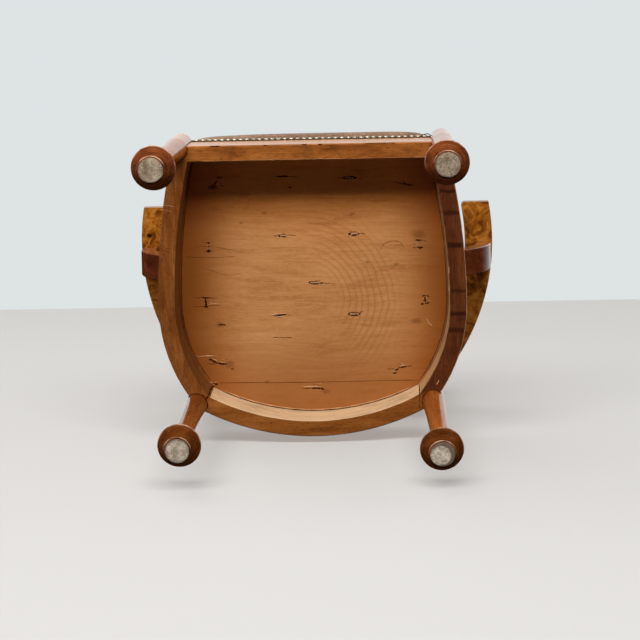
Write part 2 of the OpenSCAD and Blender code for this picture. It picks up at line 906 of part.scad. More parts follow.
// A bowed bar between or over the posts: half width, radial width, height and edge cut.
module bowed(half_w, w, h, cut) {
    intersection() {
        translate([0, back_bow - back_r, 0])
            rotate([0, 0, 45])
                rotate_extrude(angle = 90, $fn = 360)
                    translate([back_r - w / 2, 0])
                        eased(w, h, cut);
        translate([-half_w, -back_r, -1])
            cube([2 * half_w, 2 * back_r, h + 2]);
    }
}

// Dowels between the posts and the panel, drawn in the frame of the back.
module back_dowel_set(grow) {
    for (z = [40, 106, 172])
        translate([0, back_bow - back_r, panel_z + z])
            rotate([0, 0, -panel_a])
                translate([16 - back_dowel_l - grow, back_r, 0])
                    rotate([0, 90, 0])
                        cylinder(d = dowel_d + 2 * grow, h = back_dowel_l + 2 * grow);
}

module back_panel() {
    color(burl)
        placed()
            raked()
                difference() {
                    translate([0, 0, panel_z])
                        bowed(rear_leg_x - post_w / 2 - fit, panel_t, panel_h, 1);
                    for (s = [-1, 1])
                        sided(s)
                            back_dowel_set(fit);
                }
}

// Dowels between the posts and the cap, drawn in the frame of the back.
module cap_dowel_set(grow) {
    translate([rear_leg_x, 0, post_l - 20 - grow])
        cylinder(d = dowel_d + 2 * grow, h = cap_dowel_l + 2 * grow);
}

module crest_cap() {
    color(dark)
        placed()
            raked()
                difference() {
                    translate([0, 0, post_l])
                        bowed(rear_leg_x + post_w / 2 + 4, cap_w, cap_h, cap_cut);
                    for (s = [-1, 1])
                        sided(s)
                            cap_dowel_set(fit);
                }
}

module back_bead() {
    color(dark)
        placed()
            raked()
                translate([0, 0, panel_z - bead_h])
                    bowed(rear_leg_x - post_w / 2 - fit, bead_w, bead_h, cap_cut);
}

module back_dowels() {
    color(wood)
        placed()
            raked()
                for (s = [-1, 1])
                    sided(s)
                        back_dowel_set(0);
}

module cap_dowels() {
    color(wood)
        placed()
            raked()
                for (s = [-1, 1])
                    sided(s)
                        cap_dowel_set(0);
}

front_rail();
rear_rail();
side_rail_left();
side_rail_right();
leg_front_left();
leg_front_right();
leg_rear_left();
leg_rear_right();
foot_front_left();
foot_front_right();
foot_rear_left();
foot_rear_right();
felt_front_left();
felt_front_right();
felt_rear_left();
felt_rear_right();
foot_dowels();
rail_dowels();
post_dowels();
seat_panel();
ledger_left();
ledger_right();
seat_core();
seat_cover();
seat_buttons();
button_ties();
front_nails();
arm_left();
arm_right();
arm_support_left();
arm_support_right();
support_dowels();
arm_dowels();
back_post_left();
back_post_right();
back_panel();
crest_cap();
back_bead();
back_dowels();
cap_dowels();
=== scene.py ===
"""Looks of a burl wood armchair: finishes, leather seat, nails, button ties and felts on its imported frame.

The chair stands upright at the origin, its front towards minus Y. The camera looks up at the underside,
as it shows when the chair lies on its back. Sizes and places are in millimetres, and Y counts from the
front rail's face, unless a docstring says otherwise. Materials and Blender's objects are in metres.
"""

from __future__ import annotations

import json
import logging
import math
from dataclasses import dataclass
from enum import Enum
from typing import Sequence

import bmesh
import bpy
import numpy as np
from mathutils import Matrix, Vector

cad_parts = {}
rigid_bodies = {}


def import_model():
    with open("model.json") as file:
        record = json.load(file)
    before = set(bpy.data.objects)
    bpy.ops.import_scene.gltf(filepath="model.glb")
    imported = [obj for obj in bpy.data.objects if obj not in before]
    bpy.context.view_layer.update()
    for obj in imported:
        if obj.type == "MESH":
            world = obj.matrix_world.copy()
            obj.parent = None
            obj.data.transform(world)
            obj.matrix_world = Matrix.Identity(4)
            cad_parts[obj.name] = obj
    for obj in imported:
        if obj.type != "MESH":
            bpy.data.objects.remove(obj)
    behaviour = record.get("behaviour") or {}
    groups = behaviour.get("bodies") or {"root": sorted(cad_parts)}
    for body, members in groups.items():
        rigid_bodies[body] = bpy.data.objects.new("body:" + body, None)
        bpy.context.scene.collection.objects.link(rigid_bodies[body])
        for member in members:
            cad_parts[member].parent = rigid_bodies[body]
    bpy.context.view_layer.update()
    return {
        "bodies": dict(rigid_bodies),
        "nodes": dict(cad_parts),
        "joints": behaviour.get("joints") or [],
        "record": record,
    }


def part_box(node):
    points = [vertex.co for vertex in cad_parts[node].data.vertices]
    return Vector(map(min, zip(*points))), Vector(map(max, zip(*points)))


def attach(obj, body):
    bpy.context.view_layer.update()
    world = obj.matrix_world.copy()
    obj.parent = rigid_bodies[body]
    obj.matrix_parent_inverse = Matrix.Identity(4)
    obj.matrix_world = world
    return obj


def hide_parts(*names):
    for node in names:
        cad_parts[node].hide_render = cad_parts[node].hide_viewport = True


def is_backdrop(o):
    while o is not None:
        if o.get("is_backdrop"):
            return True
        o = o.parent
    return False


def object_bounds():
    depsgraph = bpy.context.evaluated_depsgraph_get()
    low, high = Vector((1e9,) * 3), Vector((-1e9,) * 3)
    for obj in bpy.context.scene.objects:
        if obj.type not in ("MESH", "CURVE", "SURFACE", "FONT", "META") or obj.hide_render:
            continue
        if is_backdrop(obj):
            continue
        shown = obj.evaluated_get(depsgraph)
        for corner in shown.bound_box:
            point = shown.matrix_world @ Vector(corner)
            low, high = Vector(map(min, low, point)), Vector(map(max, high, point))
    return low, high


LOG = logging.getLogger("armchair")
MM = 0.001

Colour = tuple[float, float, float]
Pair = tuple[float, float]
Socket = bpy.types.NodeSocket
Material = bpy.types.Material
Object = bpy.types.Object
Array = np.ndarray
Value = Socket | float


def srgb(red: int, green: int, blue: int) -> Colour:
    """Turns a screen colour into the linear one of the shaders.

    Args:
        red: red from 0 to 255.
        green: green from 0 to 255.
        blue: blue from 0 to 255.

    Returns:
        The three linear values from 0 to 1.
    """
    screen = [value / 255 for value in (red, green, blue)]
    return tuple(v / 12.92 if v <= 0.04 else ((v + 0.055) / 1.055) ** 2.4 for v in screen)


def shade(colour: Colour, share: float) -> Colour:
    """The colour times a share, at most white."""
    return tuple(min(1.0, share * value) for value in colour)


# Node graphs


class Graph:
    """A material's node graph, written one call per node.

    Attributes:
        material: the material.
        tree: its node tree.
        where: the object coordinates in metres.
    """

    def __init__(self, name: str) -> None:
        """Starts an empty material.

        Args:
            name: name of the material.
        """
        self.material = bpy.data.materials.new(name)
        self.material.use_nodes = True
        self.tree = self.material.node_tree
        self.tree.nodes.clear()
        self.where = self.node("ShaderNodeTexCoord").outputs["Object"]

    def node(self, kind: str, **settings: object) -> bpy.types.Node:
        """Adds a node.

        Args:
            kind: the node's type.
            settings: its properties and their values.

        Returns:
            The node.
        """
        made = self.tree.nodes.new(kind)
        for key, value in settings.items():
            setattr(made, key, value)
        return made

    def put(self, socket: Socket, value: Socket | Colour | float) -> None:
        """Links an input to an output, or sets the input's own value.

        Args:
            socket: the input.
            value: an output, a colour or a number.
        """
        if isinstance(value, bpy.types.NodeSocket):
            self.tree.links.new(value, socket)
        elif isinstance(value, tuple) and len(value) == 3 and socket.type == "RGBA":
            socket.default_value = (*value, 1.0)
        else:
            socket.default_value = value

    def math(self, operation: str, a: Value, b: Value = 0.0) -> Socket:
        """Works out one step of arithmetic.

        Args:
            operation: the step.
            a: the first value.
            b: the second value.

        Returns:
            The result.
        """
        made = self.node("ShaderNodeMath", operation=operation)
        self.put(made.inputs[0], a)
        self.put(made.inputs[1], b)
        return made.outputs[0]

    def add(self, a: Value, b: Value) -> Socket:
        """The sum of two values."""
        return self.math("ADD", a, b)

    def less(self, a: Value, b: Value) -> Socket:
        """The first value less the second."""
        return self.math("SUBTRACT", a, b)

    def times(self, a: Value, b: Value) -> Socket:
        """The product of two values."""
        return self.math("MULTIPLY", a, b)

    def waver(self, noise: Socket, size: float) -> Socket:
        """A value that wavers about 0: the noise less a half, times a size."""
        return self.times(self.less(noise, 0.5), size)

    def length(self, x: Socket, y: Socket) -> Socket:
        """The length of a level vector: the root of the sum of the squares."""
        return self.math("SQRT", self.add(self.times(x, x), self.times(y, y)))

    def blend(self, *patterns: tuple[Socket, float]) -> Socket:
        """Adds up patterns, each times its share.

        Args:
            patterns: each pattern and its share.

        Returns:
            The sum.
        """
        first, *others = (self.times(pattern, share) for pattern, share in patterns)
        for other in others:
            first = self.add(first, other)
        return first

    def split(self, vector: Socket) -> tuple[Socket, ...]:
        """Takes a vector apart.

        Args:
            vector: the vector.

        Returns:
            Its X, Y and Z.
        """
        made = self.node("ShaderNodeSeparateXYZ")
        self.put(made.inputs[0], vector)
        return tuple(made.outputs)

    def join(self, x: Socket, y: Socket, z: Socket) -> Socket:
        """Puts a vector together.

        Args:
            x: its X.
            y: its Y.
            z: its Z.

        Returns:
            The vector.
        """
        made = self.node("ShaderNodeCombineXYZ")
        for socket, value in zip(made.inputs, (x, y, z)):
            self.put(socket, value)
        return made.outputs[0]

    def placed(self, vector: Socket, scale: Colour, turn: float = 0.0) -> Socket:
        """Turns and stretches a vector.

        Args:
            vector: the vector.
            scale: the stretch along X, Y and Z.
            turn: the turn round Z in radians.

        Returns:
            The new vector.
        """
        made = self.node("ShaderNodeMapping")
        self.put(made.inputs["Vector"], vector)
        made.inputs["Rotation"].default_value = (0, 0, turn)
        made.inputs["Scale"].default_value = scale
        return made.outputs[0]

    def noise(
        self, vector: Socket, scale: float, detail: float = 4, rough: float = 0.55, swirl: float = 0
    ) -> Socket:
        """Draws fractal noise.

        Args:
            vector: where the noise is read.
            scale: how many waves fit in a unit of the vector.
            detail: how many octaves are added.
            rough: strength of each octave as a share of the one before.
            swirl: how much the noise is bent by itself.

        Returns:
            The noise from 0 to 1.
        """
        made = self.node("ShaderNodeTexNoise")
        names = ("Vector", "Scale", "Detail", "Roughness", "Distortion")
        for key, value in zip(names, (vector, scale, detail, rough, swirl)):
            self.put(made.inputs[key], value)
        return made.outputs["Fac"]

    def cells(self, vector: Socket, scale: float, feature: str = "F1") -> Socket:
        """Scatters points and measures from them.

        Args:
            vector: where the distance is read.
            scale: how many points fit in a metre.
            feature: to the nearest point, or to the border between points.

        Returns:
            The distance.
        """
        made = self.node("ShaderNodeTexVoronoi", feature=feature)
        self.put(made.inputs["Vector"], vector)
        self.put(made.inputs["Scale"], scale)
        return made.outputs["Distance"]

    def remap(
        self, value: Socket, low: float, high: float, to_low: float = 0.0, to_high: float = 1.0
    ) -> Socket:
        """A smooth step from one range of values to another.

        Args:
            value: the value.
            low: where the step starts.
            high: where it ends.
            to_low: the result before the step.
            to_high: the result after it.

        Returns:
            The result.
        """
        made = self.node("ShaderNodeMapRange", interpolation_type="SMOOTHSTEP")
        for socket, item in zip(made.inputs, (value, low, high, to_low, to_high)):
            self.put(socket, item)
        return made.outputs[0]

    def ramp(self, factor: Socket, stops: Sequence[tuple[float, Colour]]) -> Socket:
        """Reads a colour off a row of colours.

        Args:
            factor: the place in the row.
            stops: the places and their colours.

        Returns:
            The colour.
        """
        made = self.node("ShaderNodeValToRGB")
        elements = made.color_ramp.elements
        while len(elements) < len(stops):
            elements.new(0.5)
        for element, (place, colour) in zip(elements, stops):
            element.position = place
            element.color = (*colour, 1.0)
        self.put(made.inputs[0], factor)
        return made.outputs[0]

    def mix(self, factor: Socket, a: Socket | Colour, b: Socket | Colour, blend: str = "MIX") -> Socket:
        """Mixes two colours.

        Args:
            factor: share of the second colour.
            a: the first colour.
            b: the second colour.
            blend: how they are mixed.

        Returns:
            The mixed colour.
        """
        made = self.node("ShaderNodeMix", data_type="RGBA", blend_type=blend, clamp_factor=True)
        for index, value in ((0, factor), (6, a), (7, b)):
            self.put(made.inputs[index], value)
        return made.outputs[2]

    def bump(self, height: Socket, depth: float) -> Socket:
        """Makes relief of a pattern.

        Args:
            height: the pattern.
            depth: depth in metres of a step from 0 to 1.

        Returns:
            The normal.
        """
        made = self.node("ShaderNodeBump")
        made.inputs["Strength"].default_value = 1.0
        made.inputs["Distance"].default_value = depth
        self.put(made.inputs["Height"], height)
        return made.outputs[0]

    def attribute(self, name: str) -> Socket:
        """A value that the mesh holds at each point."""
        return self.node("ShaderNodeAttribute", attribute_name=name).outputs["Fac"]

    def facing(self) -> tuple[Socket, ...]:
        """The X, Y and Z of the surface's normal."""
        return self.split(self.node("ShaderNodeNewGeometry").outputs["Normal"])

    def inward(self, face_y: float, middle: float = 235.0) -> Socket:
        """Finds the faces that look to the middle of the seat, by the product of the normal and the place.

        Args:
            face_y: Y of the front face in metres.
            middle: Y of the middle of the seat.

        Returns:
            1 on those faces and 0 on the others.
        """
        x, y, _ = self.split(self.where)
        across, along, _ = self.facing()
        y = self.less(y, face_y + middle * MM)
        outwards = self.add(self.times(across, x), self.times(along, y))
        return self.remap(outwards, -0.13, -0.07, 1.0, 0.0)

    def spots(self, marks: Sequence[tuple[float, float, float]], face_y: float, soft: float) -> Socket:
        """Draws round marks with ragged edges, drawn out across the chair.

        Args:
            marks: X, Y and radius of each.
            face_y: Y of the front face in metres.
            soft: share of the radius over which a mark fades.

        Returns:
            1 in the marks and 0 outside them: the largest of all the marks' values.
        """
        x, y, _ = self.split(self.where)
        total: Value = 0.0
        wander = self.noise(self.where, 160, 2)
        for mark_x, mark_y, radius in marks:
            dx = self.math("DIVIDE", self.less(x, mark_x * MM), 1.6)
            dy = self.less(y, mark_y * MM + face_y)
            far = self.add(self.length(dx, dy), self.waver(wander, radius * MM))
            mark = self.remap(far, radius * MM * (1 - soft), radius * MM, 1.0, 0.0)
            total = self.math("MAXIMUM", total, mark)
        return total

    def surface(
        self,
        colour: Socket | Colour,
        roughness: Value,
        normal: Socket,
        coat: Value = 0.0,
        coat_roughness: float = 0.1,
        metallic: float = 0.0,
        specular: float = 0.3,
        sheen: float = 0.0,
    ) -> None:
        """Ends the graph in one shader.

        Args:
            colour: base colour.
            roughness: roughness of the stuff itself.
            normal: the normal with its relief.
            coat: weight of the polish.
            coat_roughness: roughness of the polish.
            metallic: 1 for metal.
            specular: specular level of the stuff itself.
            sheen: weight of the sheen of fibres.
        """
        shader = self.node("ShaderNodeBsdfPrincipled")
        self.put(shader.inputs["Base Color"], colour)
        self.put(shader.inputs["Roughness"], roughness)
        self.put(shader.inputs["Normal"], normal)
        self.put(shader.inputs["Coat Weight"], coat)
        shader.inputs["Coat Roughness"].default_value = coat_roughness
        shader.inputs["Metallic"].default_value = metallic
        shader.inputs["Specular IOR Level"].default_value = specular
        shader.inputs["Sheen Weight"].default_value = sheen
        out = self.node("ShaderNodeOutputMaterial")
        self.put(out.inputs["Surface"], shader.outputs[0])


class Grain(Enum):
    """The direction of a board's grain."""

    ALONG_X = "x"
    ALONG_Y = "y"
    ALONG_Z = "z"

    def stretch(self, along: float, across: float) -> Colour:
        """Scales of a pattern that is drawn out along the grain."""
        return tuple(along if axis == self.value else across for axis in "xyz")


# Finishes


class Finish:
    """What every finish has in common."""

    def make(self, name: str) -> Material:
        """Makes the material.

        Args:
            name: name of the material.

        Returns:
            The material.
        """
        g = Graph(name)
        self.paint(g)
        return g.material

    def paint(self, g: Graph) -> None:
        """Draws the finish in a graph, each finish in its own way."""
        raise NotImplementedError


@dataclass(frozen=True)
class Tones:
    """The three colours of a wood.

    Attributes:
        dark: colour of the late wood, or of a burl's eyes and swirls.
        middle: colour of most of the surface.
        light: colour of the pale streaks or flames.
    """

    dark: Colour
    middle: Colour
    light: Colour

    def spread(self, g: Graph, tone: Socket, places: tuple[float, float, float]) -> Socket:
        """The colour of a tone, with the three colours at the given places."""
        return g.ramp(tone, tuple(zip(places, (self.dark, self.middle, self.light))))


@dataclass(frozen=True)
class RimHighlights:
    """Painted highlights on the lower and the widest rim of a turned foot, and painted shade on its rear
    side.

    Sizes are in metres. A place's side is the Y of the unit vector from the axis: minus 1 in front.

    Attributes:
        axis: X and Y of the foot's axis.
        low_z: heights between which the lower line ends.
        low_radius: radii between which the lower line begins.
        wide_z: heights between which the wide line begins.
        wide_radius: radii between which the wide line begins.
        wear_and_highlight: colour of the painted highlights.
    """

    axis: Pair
    low_z: Pair = (0.0046, 0.0056)
    low_radius: Pair = (0.0213, 0.0221)
    wide_z: Pair = (0.0372, 0.0386)
    wide_radius: Pair = (0.034, 0.0348)
    wear_and_highlight: Colour = srgb(222, 184, 154)

    def paint(self, g: Graph, colour: Socket, deep: Colour) -> Socket:
        """Paints the rim highlights and the rear side's shade over a colour.

        Args:
            g: the graph.
            colour: colour of the foot.
            deep: colour of the painted shade on its rear side.

        Returns:
            The colour with the painted highlights and shade.
        """
        x, y, z = g.split(g.where)
        dx = g.less(x, self.axis[0])
        dy = g.less(y, self.axis[1])
        far = g.length(dx, dy)
        side = g.math("DIVIDE", dy, g.math("MAXIMUM", far, 0.001))
        # Painted shade: the rear side, away from the key lamp, is mixed towards the deep colour.
        colour = g.mix(g.remap(side, 0.0, 1.0, 0.0, 0.32), colour, deep)
        # Painted highlights: pale lines on the rims' front sides, towards the key lamp, broken by noise.
        broken_highlight = g.remap(g.noise(g.where, 70, 3), 0.38, 0.6, 0.2, 1.0)
        low = g.times(g.remap(z, *self.low_z, 1.0, 0.0), g.remap(far, *self.low_radius))
        low = g.times(low, g.remap(side, -0.8, 0.1, 0.62, 0.0))
        wide = g.times(g.remap(z, *self.wide_z), g.remap(far, *self.wide_radius))
        wide = g.times(wide, g.remap(side, -0.5, 0.45, 0.5, 0.0))
        return g.mix(g.times(g.math("MAXIMUM", low, wide), broken_highlight), colour, self.wear_and_highlight)


@dataclass(frozen=True)
class PolishedWood(Finish):
    """Old solid wood with streaks, pores, mottling and grime, waxed on its outer faces and bare below.

    Attributes:
        tones: its colours.
        grain: direction of the grain.
        coat: weight of the polish.
        gloss: roughness of the polish.
        stain: strength of the grimy patches.
        mottle: strength of the cloudy mottling.
        inner: colour of the bare faces that look to the seat's middle, if it differs.
        bands: Y of the dark bars across the wood.
        face_y: Y of the front face in metres.
        waxed: Z of the normals between which the polish comes in.
        specular: specular level under the polish.
        rims: painted highlights and shade on the rims of a turned foot.
        front: lighter colour of the faces that look to the front, painted light of the key lamp, if it
            differs.
    """

    tones: Tones
    grain: Grain
    coat: float = 0.5
    gloss: float = 0.16
    stain: float = 0.5
    mottle: float = 0.25
    inner: Colour | None = None
    bands: tuple[float, ...] = ()
    face_y: float = 0.0
    waxed: Pair = (-0.85, -0.4)
    specular: float = 0.05
    rims: RimHighlights | None = None
    front: Colour | None = None

    def paint(self, g: Graph) -> None:
        """Draws the wood.

        Args:
            g: the graph.
        """
        streaks = g.noise(g.placed(g.where, self.grain.stretch(2.2, 38)), 1.0, 5, 0.6, 0.6)
        fibres = g.noise(g.placed(g.where, self.grain.stretch(14, 420)), 1.0, 3, 0.6)
        pores = g.noise(g.placed(g.where, self.grain.stretch(120, 900)), 1.0, 1, 0.4)
        clouds = g.noise(g.placed(g.where, self.grain.stretch(16, 60)), 1.0, 4, 0.62, 0.8)
        grime = g.noise(g.where, 13, 5, 0.65, 0.4)
        tone = g.blend((streaks, 0.75 - self.mottle), (fibres, 0.25), (clouds, self.mottle))
        dark = self.tones.dark
        colour = self.tones.spread(g, tone, (0.36, 0.5, 0.64))
        colour = g.mix(g.remap(pores, 0.60, 0.68, 0, 0.55), colour, shade(dark, 0.3))
        colour = g.mix(g.remap(grime, 0.54, 0.72, 0, self.stain), colour, shade(dark, 0.45))
        polish = g.remap(g.facing()[2], *self.waxed, 0.0, self.coat)
        if self.bands:
            colour = g.mix(self._bars(g), colour, shade(dark, 0.42))
        # Painted highlights and shade on a turned foot's rims.
        if self.rims is not None:
            colour = self.rims.paint(g, colour, shade(dark, 0.3))
        # Painted light: the faces that look to the front, towards the key lamp, take the lighter front
        # colour.
        if self.front is not None:
            front = Tones(*(shade(self.front, share) for share in (0.55, 0.95, 1.2)))
            painted_light_front = g.remap(g.facing()[1], -0.9, -0.6, 0.85, 0.0)
            colour = g.mix(painted_light_front, colour, front.spread(g, tone, (0.36, 0.5, 0.64)))
        if self.inner is not None:
            inward = g.inward(self.face_y)
            colour = g.mix(inward, colour, g.ramp(tone, ((0.36, shade(self.inner, 0.5)), (0.52, self.inner))))
            polish = g.times(polish, g.less(1.0, inward))
        rough = g.add(g.times(grime, 0.2), 0.42)
        relief = g.bump(g.add(fibres, g.times(pores, 0.6)), 0.00012)
        g.surface(colour, rough, relief, coat=polish, coat_roughness=self.gloss, specular=self.specular)

    def _bars(self, g: Graph) -> Socket:
        """Draws the dark bars, soft and with ragged sides, in three widths and two strengths by turns.

        Args:
            g: the graph.

        Returns:
            The strength of the bars.
        """
        _, y, _ = g.split(g.where)
        y = g.add(y, g.waver(g.noise(g.where, 90, 3), 0.006))
        total: Value = 0.0
        for index, place in enumerate(self.bands):
            width = 0.0042 + 0.0012 * (index % 3)
            strength = 0.85 - 0.16 * (index % 2)
            off = g.math("ABSOLUTE", g.less(y, place * MM + self.face_y))
            total = g.math("MAXIMUM", total, g.remap(off, width * 0.35, width, strength, 0.0))
        return total


@dataclass(frozen=True)
class BurlWood(Finish):
    """Swirled burl figure with eyes, under polish on its outer faces and bare below.

    Attributes:
        tones: its colours.
        size: how many swirls fit in a metre.
        coat: weight of the polish.
        knots: X, Y and radius of dark knots.
        face_y: Y of the front face in metres.
        edge: share by which upright faces are darker.
    """

    tones: Tones
    size: float = 10.0
    coat: float = 0.4
    knots: tuple[tuple[float, float, float], ...] = ()
    face_y: float = 0.0
    edge: float = 0.0

    def paint(self, g: Graph) -> None:
        """Draws the burl: patterns read at places that a broad noise pushes about.

        Args:
            g: the graph.
        """
        x, y, z = g.split(g.where)
        push = g.times(g.noise(g.where, self.size * 0.8, 3, 0.5), 0.09)
        warped = g.join(g.add(x, push), g.add(y, push), g.less(z, push))
        swirls = g.noise(warped, self.size * 2.2, 8, 0.62, 2.4)
        lines = g.noise(warped, self.size * 9, 6, 0.6, 1.2)
        eyes = g.cells(warped, self.size * 4.5)
        dark = self.tones.dark
        colour = self.tones.spread(g, g.blend((swirls, 0.74), (lines, 0.26)), (0.4, 0.5, 0.61))
        colour = g.mix(g.remap(eyes, 0.03, 0.16, 0.75, 0), colour, shade(dark, 0.5))
        if self.knots:
            colour = g.mix(g.spots(self.knots, self.face_y, 0.5), colour, shade(dark, 0.12))
        upright = g.remap(g.math("ABSOLUTE", g.facing()[2]), 0.3, 0.9, self.edge, 0.0)
        colour = g.mix(upright, colour, shade(dark, 0.4))
        rough = g.add(g.times(lines, 0.2), 0.36)
        polish = g.remap(g.facing()[2], -0.85, -0.4, 0.0, self.coat)
        g.surface(colour, rough, g.bump(lines, 0.0001), coat=polish, coat_roughness=0.24, specular=0.05)


@dataclass(frozen=True)
class SeatBoardWood(Finish):
    """Peeled veneer of a plywood board: fine fibres across the chair, arcs, small knots, darker parts near
    the side and rear rails that are partly stain and partly painted shade, and painted shade at the front.

    Attributes:
        face_y: Y of the front face in metres.
        knots: X, Y and radius of small knots.
        arcs: X and Y of the middle of the arcs.
        arc_waves: radians of the arcs' wave in a metre.
        middle: X of the board's middle in metres.
        inlet: Y of the joint behind which the veneer is more orange.
    """

    face_y: float
    knots: tuple[tuple[float, float, float], ...]
    arcs: Pair = (-20.0, 288.0)
    arc_waves: float = 560.0
    middle: float = 0.008
    inlet: float = 439.5

    def paint(self, g: Graph) -> None:
        """Draws the board.

        Args:
            g: the graph.
        """
        x, y, z = g.split(g.where)
        swayed = g.join(x, g.add(y, g.waver(g.noise(g.where, 4.5, 2), 0.03)), z)
        streaks = g.noise(g.placed(swayed, (7, 62, 60)), 1.0, 6, 0.62, 1.0)
        fibres = g.noise(g.placed(swayed, (16, 520, 520)), 1.0, 3, 0.55)
        blotches = g.noise(g.placed(g.where, (6, 10, 10)), 1.0, 4, 0.6)
        grit = g.noise(g.placed(g.where, (90, 210, 210)), 1.0, 4, 0.7, 1.0)
        tone = g.blend((streaks, 0.32), (fibres, 0.2), (blotches, 0.26), (grit, 0.22))
        veneer = (srgb(158, 98, 48), srgb(191, 130, 76), srgb(202, 142, 88), srgb(217, 163, 110))
        colour = g.ramp(tone, tuple(zip((0.36, 0.48, 0.58, 0.7), veneer)))
        colour = g.mix(self._rings(g, x, y), colour, srgb(146, 86, 38))
        behind = g.less(y, self.face_y)
        # Towards the rear rail the board turns darker and more orange: partly the veneer's colour, partly
        # painted shade.
        colour = g.mix(g.remap(behind, 0.33, 0.45, 0, 0.6), colour, srgb(146, 84, 32))
        inlet = g.remap(behind, self.inlet * MM, (self.inlet + 1) * MM, 0, 0.22)
        colour = g.mix(inlet, colour, srgb(156, 92, 38))
        # Towards the side rails the board turns darker and more orange: partly stain, partly painted shade of
        # the rails.
        side = g.add(g.math("ABSOLUTE", g.less(x, self.middle)), g.waver(blotches, 0.05))
        colour = g.mix(g.remap(side, 0.12, 0.24, 0, 0.9), colour, srgb(148, 78, 12))
        # Painted shade of the front rail: the board's front part is multiplied darker and more orange.
        front = g.add(behind, g.waver(blotches, 0.06))
        colour = g.mix(g.remap(front, 0.08, 0.19, 1.0, 0.0), colour, (0.86, 0.62, 0.3), "MULTIPLY")
        knots = g.times(g.spots(self.knots, self.face_y, 0.75), 0.42)
        colour = g.mix(knots, colour, srgb(96, 48, 14))
        rough = g.add(g.times(blotches, 0.2), 0.5)
        g.surface(colour, rough, g.bump(g.add(fibres, g.times(streaks, 0.5)), 0.0002), specular=0.15)

    def _rings(self, g: Graph, x: Socket, y: Socket) -> Socket:
        """Draws the arcs: a sine of the distance to their middle, from 60 to 190 mm away, towards plus X.

        Args:
            g: the graph.
            x: X in metres.
            y: Y in metres.

        Returns:
            The strength of the arcs.
        """
        dx = g.less(x, self.arcs[0] * MM)
        dy = g.less(y, self.arcs[1] * MM + self.face_y)
        far = g.length(dx, dy)
        bend = g.times(g.noise(g.where, 14, 2), 9)
        wave = g.math("SINE", g.add(g.times(far, self.arc_waves), bend))
        shown = g.times(g.remap(far, 0.05, 0.08), g.remap(far, 0.14, 0.2, 1.0, 0.0))
        shown = g.times(shown, g.remap(g.less(dx, g.times(dy, 0.4)), 0.02, 0.09))
        return g.times(g.remap(wave, 0.15, 1.0, 0.0, 0.27), shown)


@dataclass(frozen=True)
class WornLeather(Finish):
    """Leather with a pebbled grain, creases and rubbed patches, darker where the attribute pressed is high.

    Attributes:
        base: colour of most of it.
        wear_and_highlight: colour of the paler clouds.
        deep: colour of the creases and folds.
    """

    base: Colour
    wear_and_highlight: Colour
    deep: Colour

    def paint(self, g: Graph) -> None:
        """Draws the leather.

        Args:
            g: the graph.
        """
        x, y, z = g.split(g.where)
        push = g.times(g.noise(g.where, 40, 3, 0.5), 0.012)
        warped = g.join(g.add(x, push), g.less(y, push), z)
        pebbles = g.cells(g.where, 760, "DISTANCE_TO_EDGE")
        cracks = g.cells(warped, 95, "DISTANCE_TO_EDGE")
        cloud = g.noise(g.where, 17, 5, 0.6, 0.5)
        rubbed = g.noise(g.where, 60, 4, 0.6)
        colour = g.mix(g.remap(cloud, 0.38, 0.66), self.base, self.wear_and_highlight)
        colour = g.mix(g.remap(rubbed, 0.52, 0.72, 0, 0.35), colour, self.deep)
        colour = g.mix(g.remap(cracks, 0.0, 0.045, 0.5, 0.0), colour, self.deep)
        colour = g.mix(g.times(g.attribute("pressed"), 0.75), colour, shade(self.deep, 0.7))
        rough = g.add(g.times(cloud, 0.2), 0.32)
        height = g.add(g.times(g.remap(pebbles, 0.0, 0.25), 0.6), g.remap(cracks, 0.0, 0.07))
        g.surface(colour, rough, g.bump(height, 0.0003), coat=0.06, coat_roughness=0.3, specular=0.2)


@dataclass(frozen=True)
class WoolFelt(Finish):
    """Pressed felt with tangled fibres and trodden dirt, and a dark rim by the radius in the attribute rim.

    Attributes:
        base: colour of the fibres.
        dirt: colour between the fibres.
    """

    base: Colour
    dirt: Colour

    def paint(self, g: Graph) -> None:
        """Draws the felt.

        Args:
            g: the graph.
        """
        hairs = g.noise(g.placed(g.where, (170, 900, 600), 0.9), 1.0, 4, 0.7, 1.2)
        cross = g.noise(g.placed(g.where, (800, 260, 600), 0.3), 1.0, 4, 0.7, 0.8)
        clumps = g.noise(g.where, 120, 5, 0.7, 0.4)
        patches = g.noise(g.where, 55, 3, 0.6, 0.6)
        tone = g.blend((hairs, 0.4), (cross, 0.3), (clumps, 0.3))
        colour = g.mix(g.remap(tone, 0.41, 0.58), self.dirt, self.base)
        colour = g.mix(g.remap(patches, 0.5, 0.66, 0, 0.6), colour, shade(self.dirt, 0.75))
        colour = g.mix(g.remap(patches, 0.34, 0.46, 0.5, 0.0), colour, shade(self.base, 1.3))
        rim = g.add(g.attribute("rim"), g.waver(clumps, 0.35))
        colour = g.mix(g.remap(rim, 0.84, 1.08, 0, 0.85), colour, srgb(84, 56, 36))
        height = g.add(hairs, g.times(cross, 0.8))
        g.surface(colour, 0.95, g.bump(height, 0.0007), specular=0.15, sheen=0.25)


@dataclass(frozen=True)
class AgedBrass(Finish):
    """Domed brass with dull spots.

    Attributes:
        bright: colour of the clean metal.
        dull: colour of the spots.
    """

    bright: Colour
    dull: Colour

    def paint(self, g: Graph) -> None:
        """Draws the brass.

        Args:
            g: the graph.
        """
        spots = g.noise(g.where, 260, 4, 0.6)
        colour = g.mix(g.remap(spots, 0.45, 0.66), self.bright, self.dull)
        g.surface(colour, g.remap(spots, 0.4, 0.7, 0.22, 0.5), g.bump(spots, 0.00008), metallic=1.0)


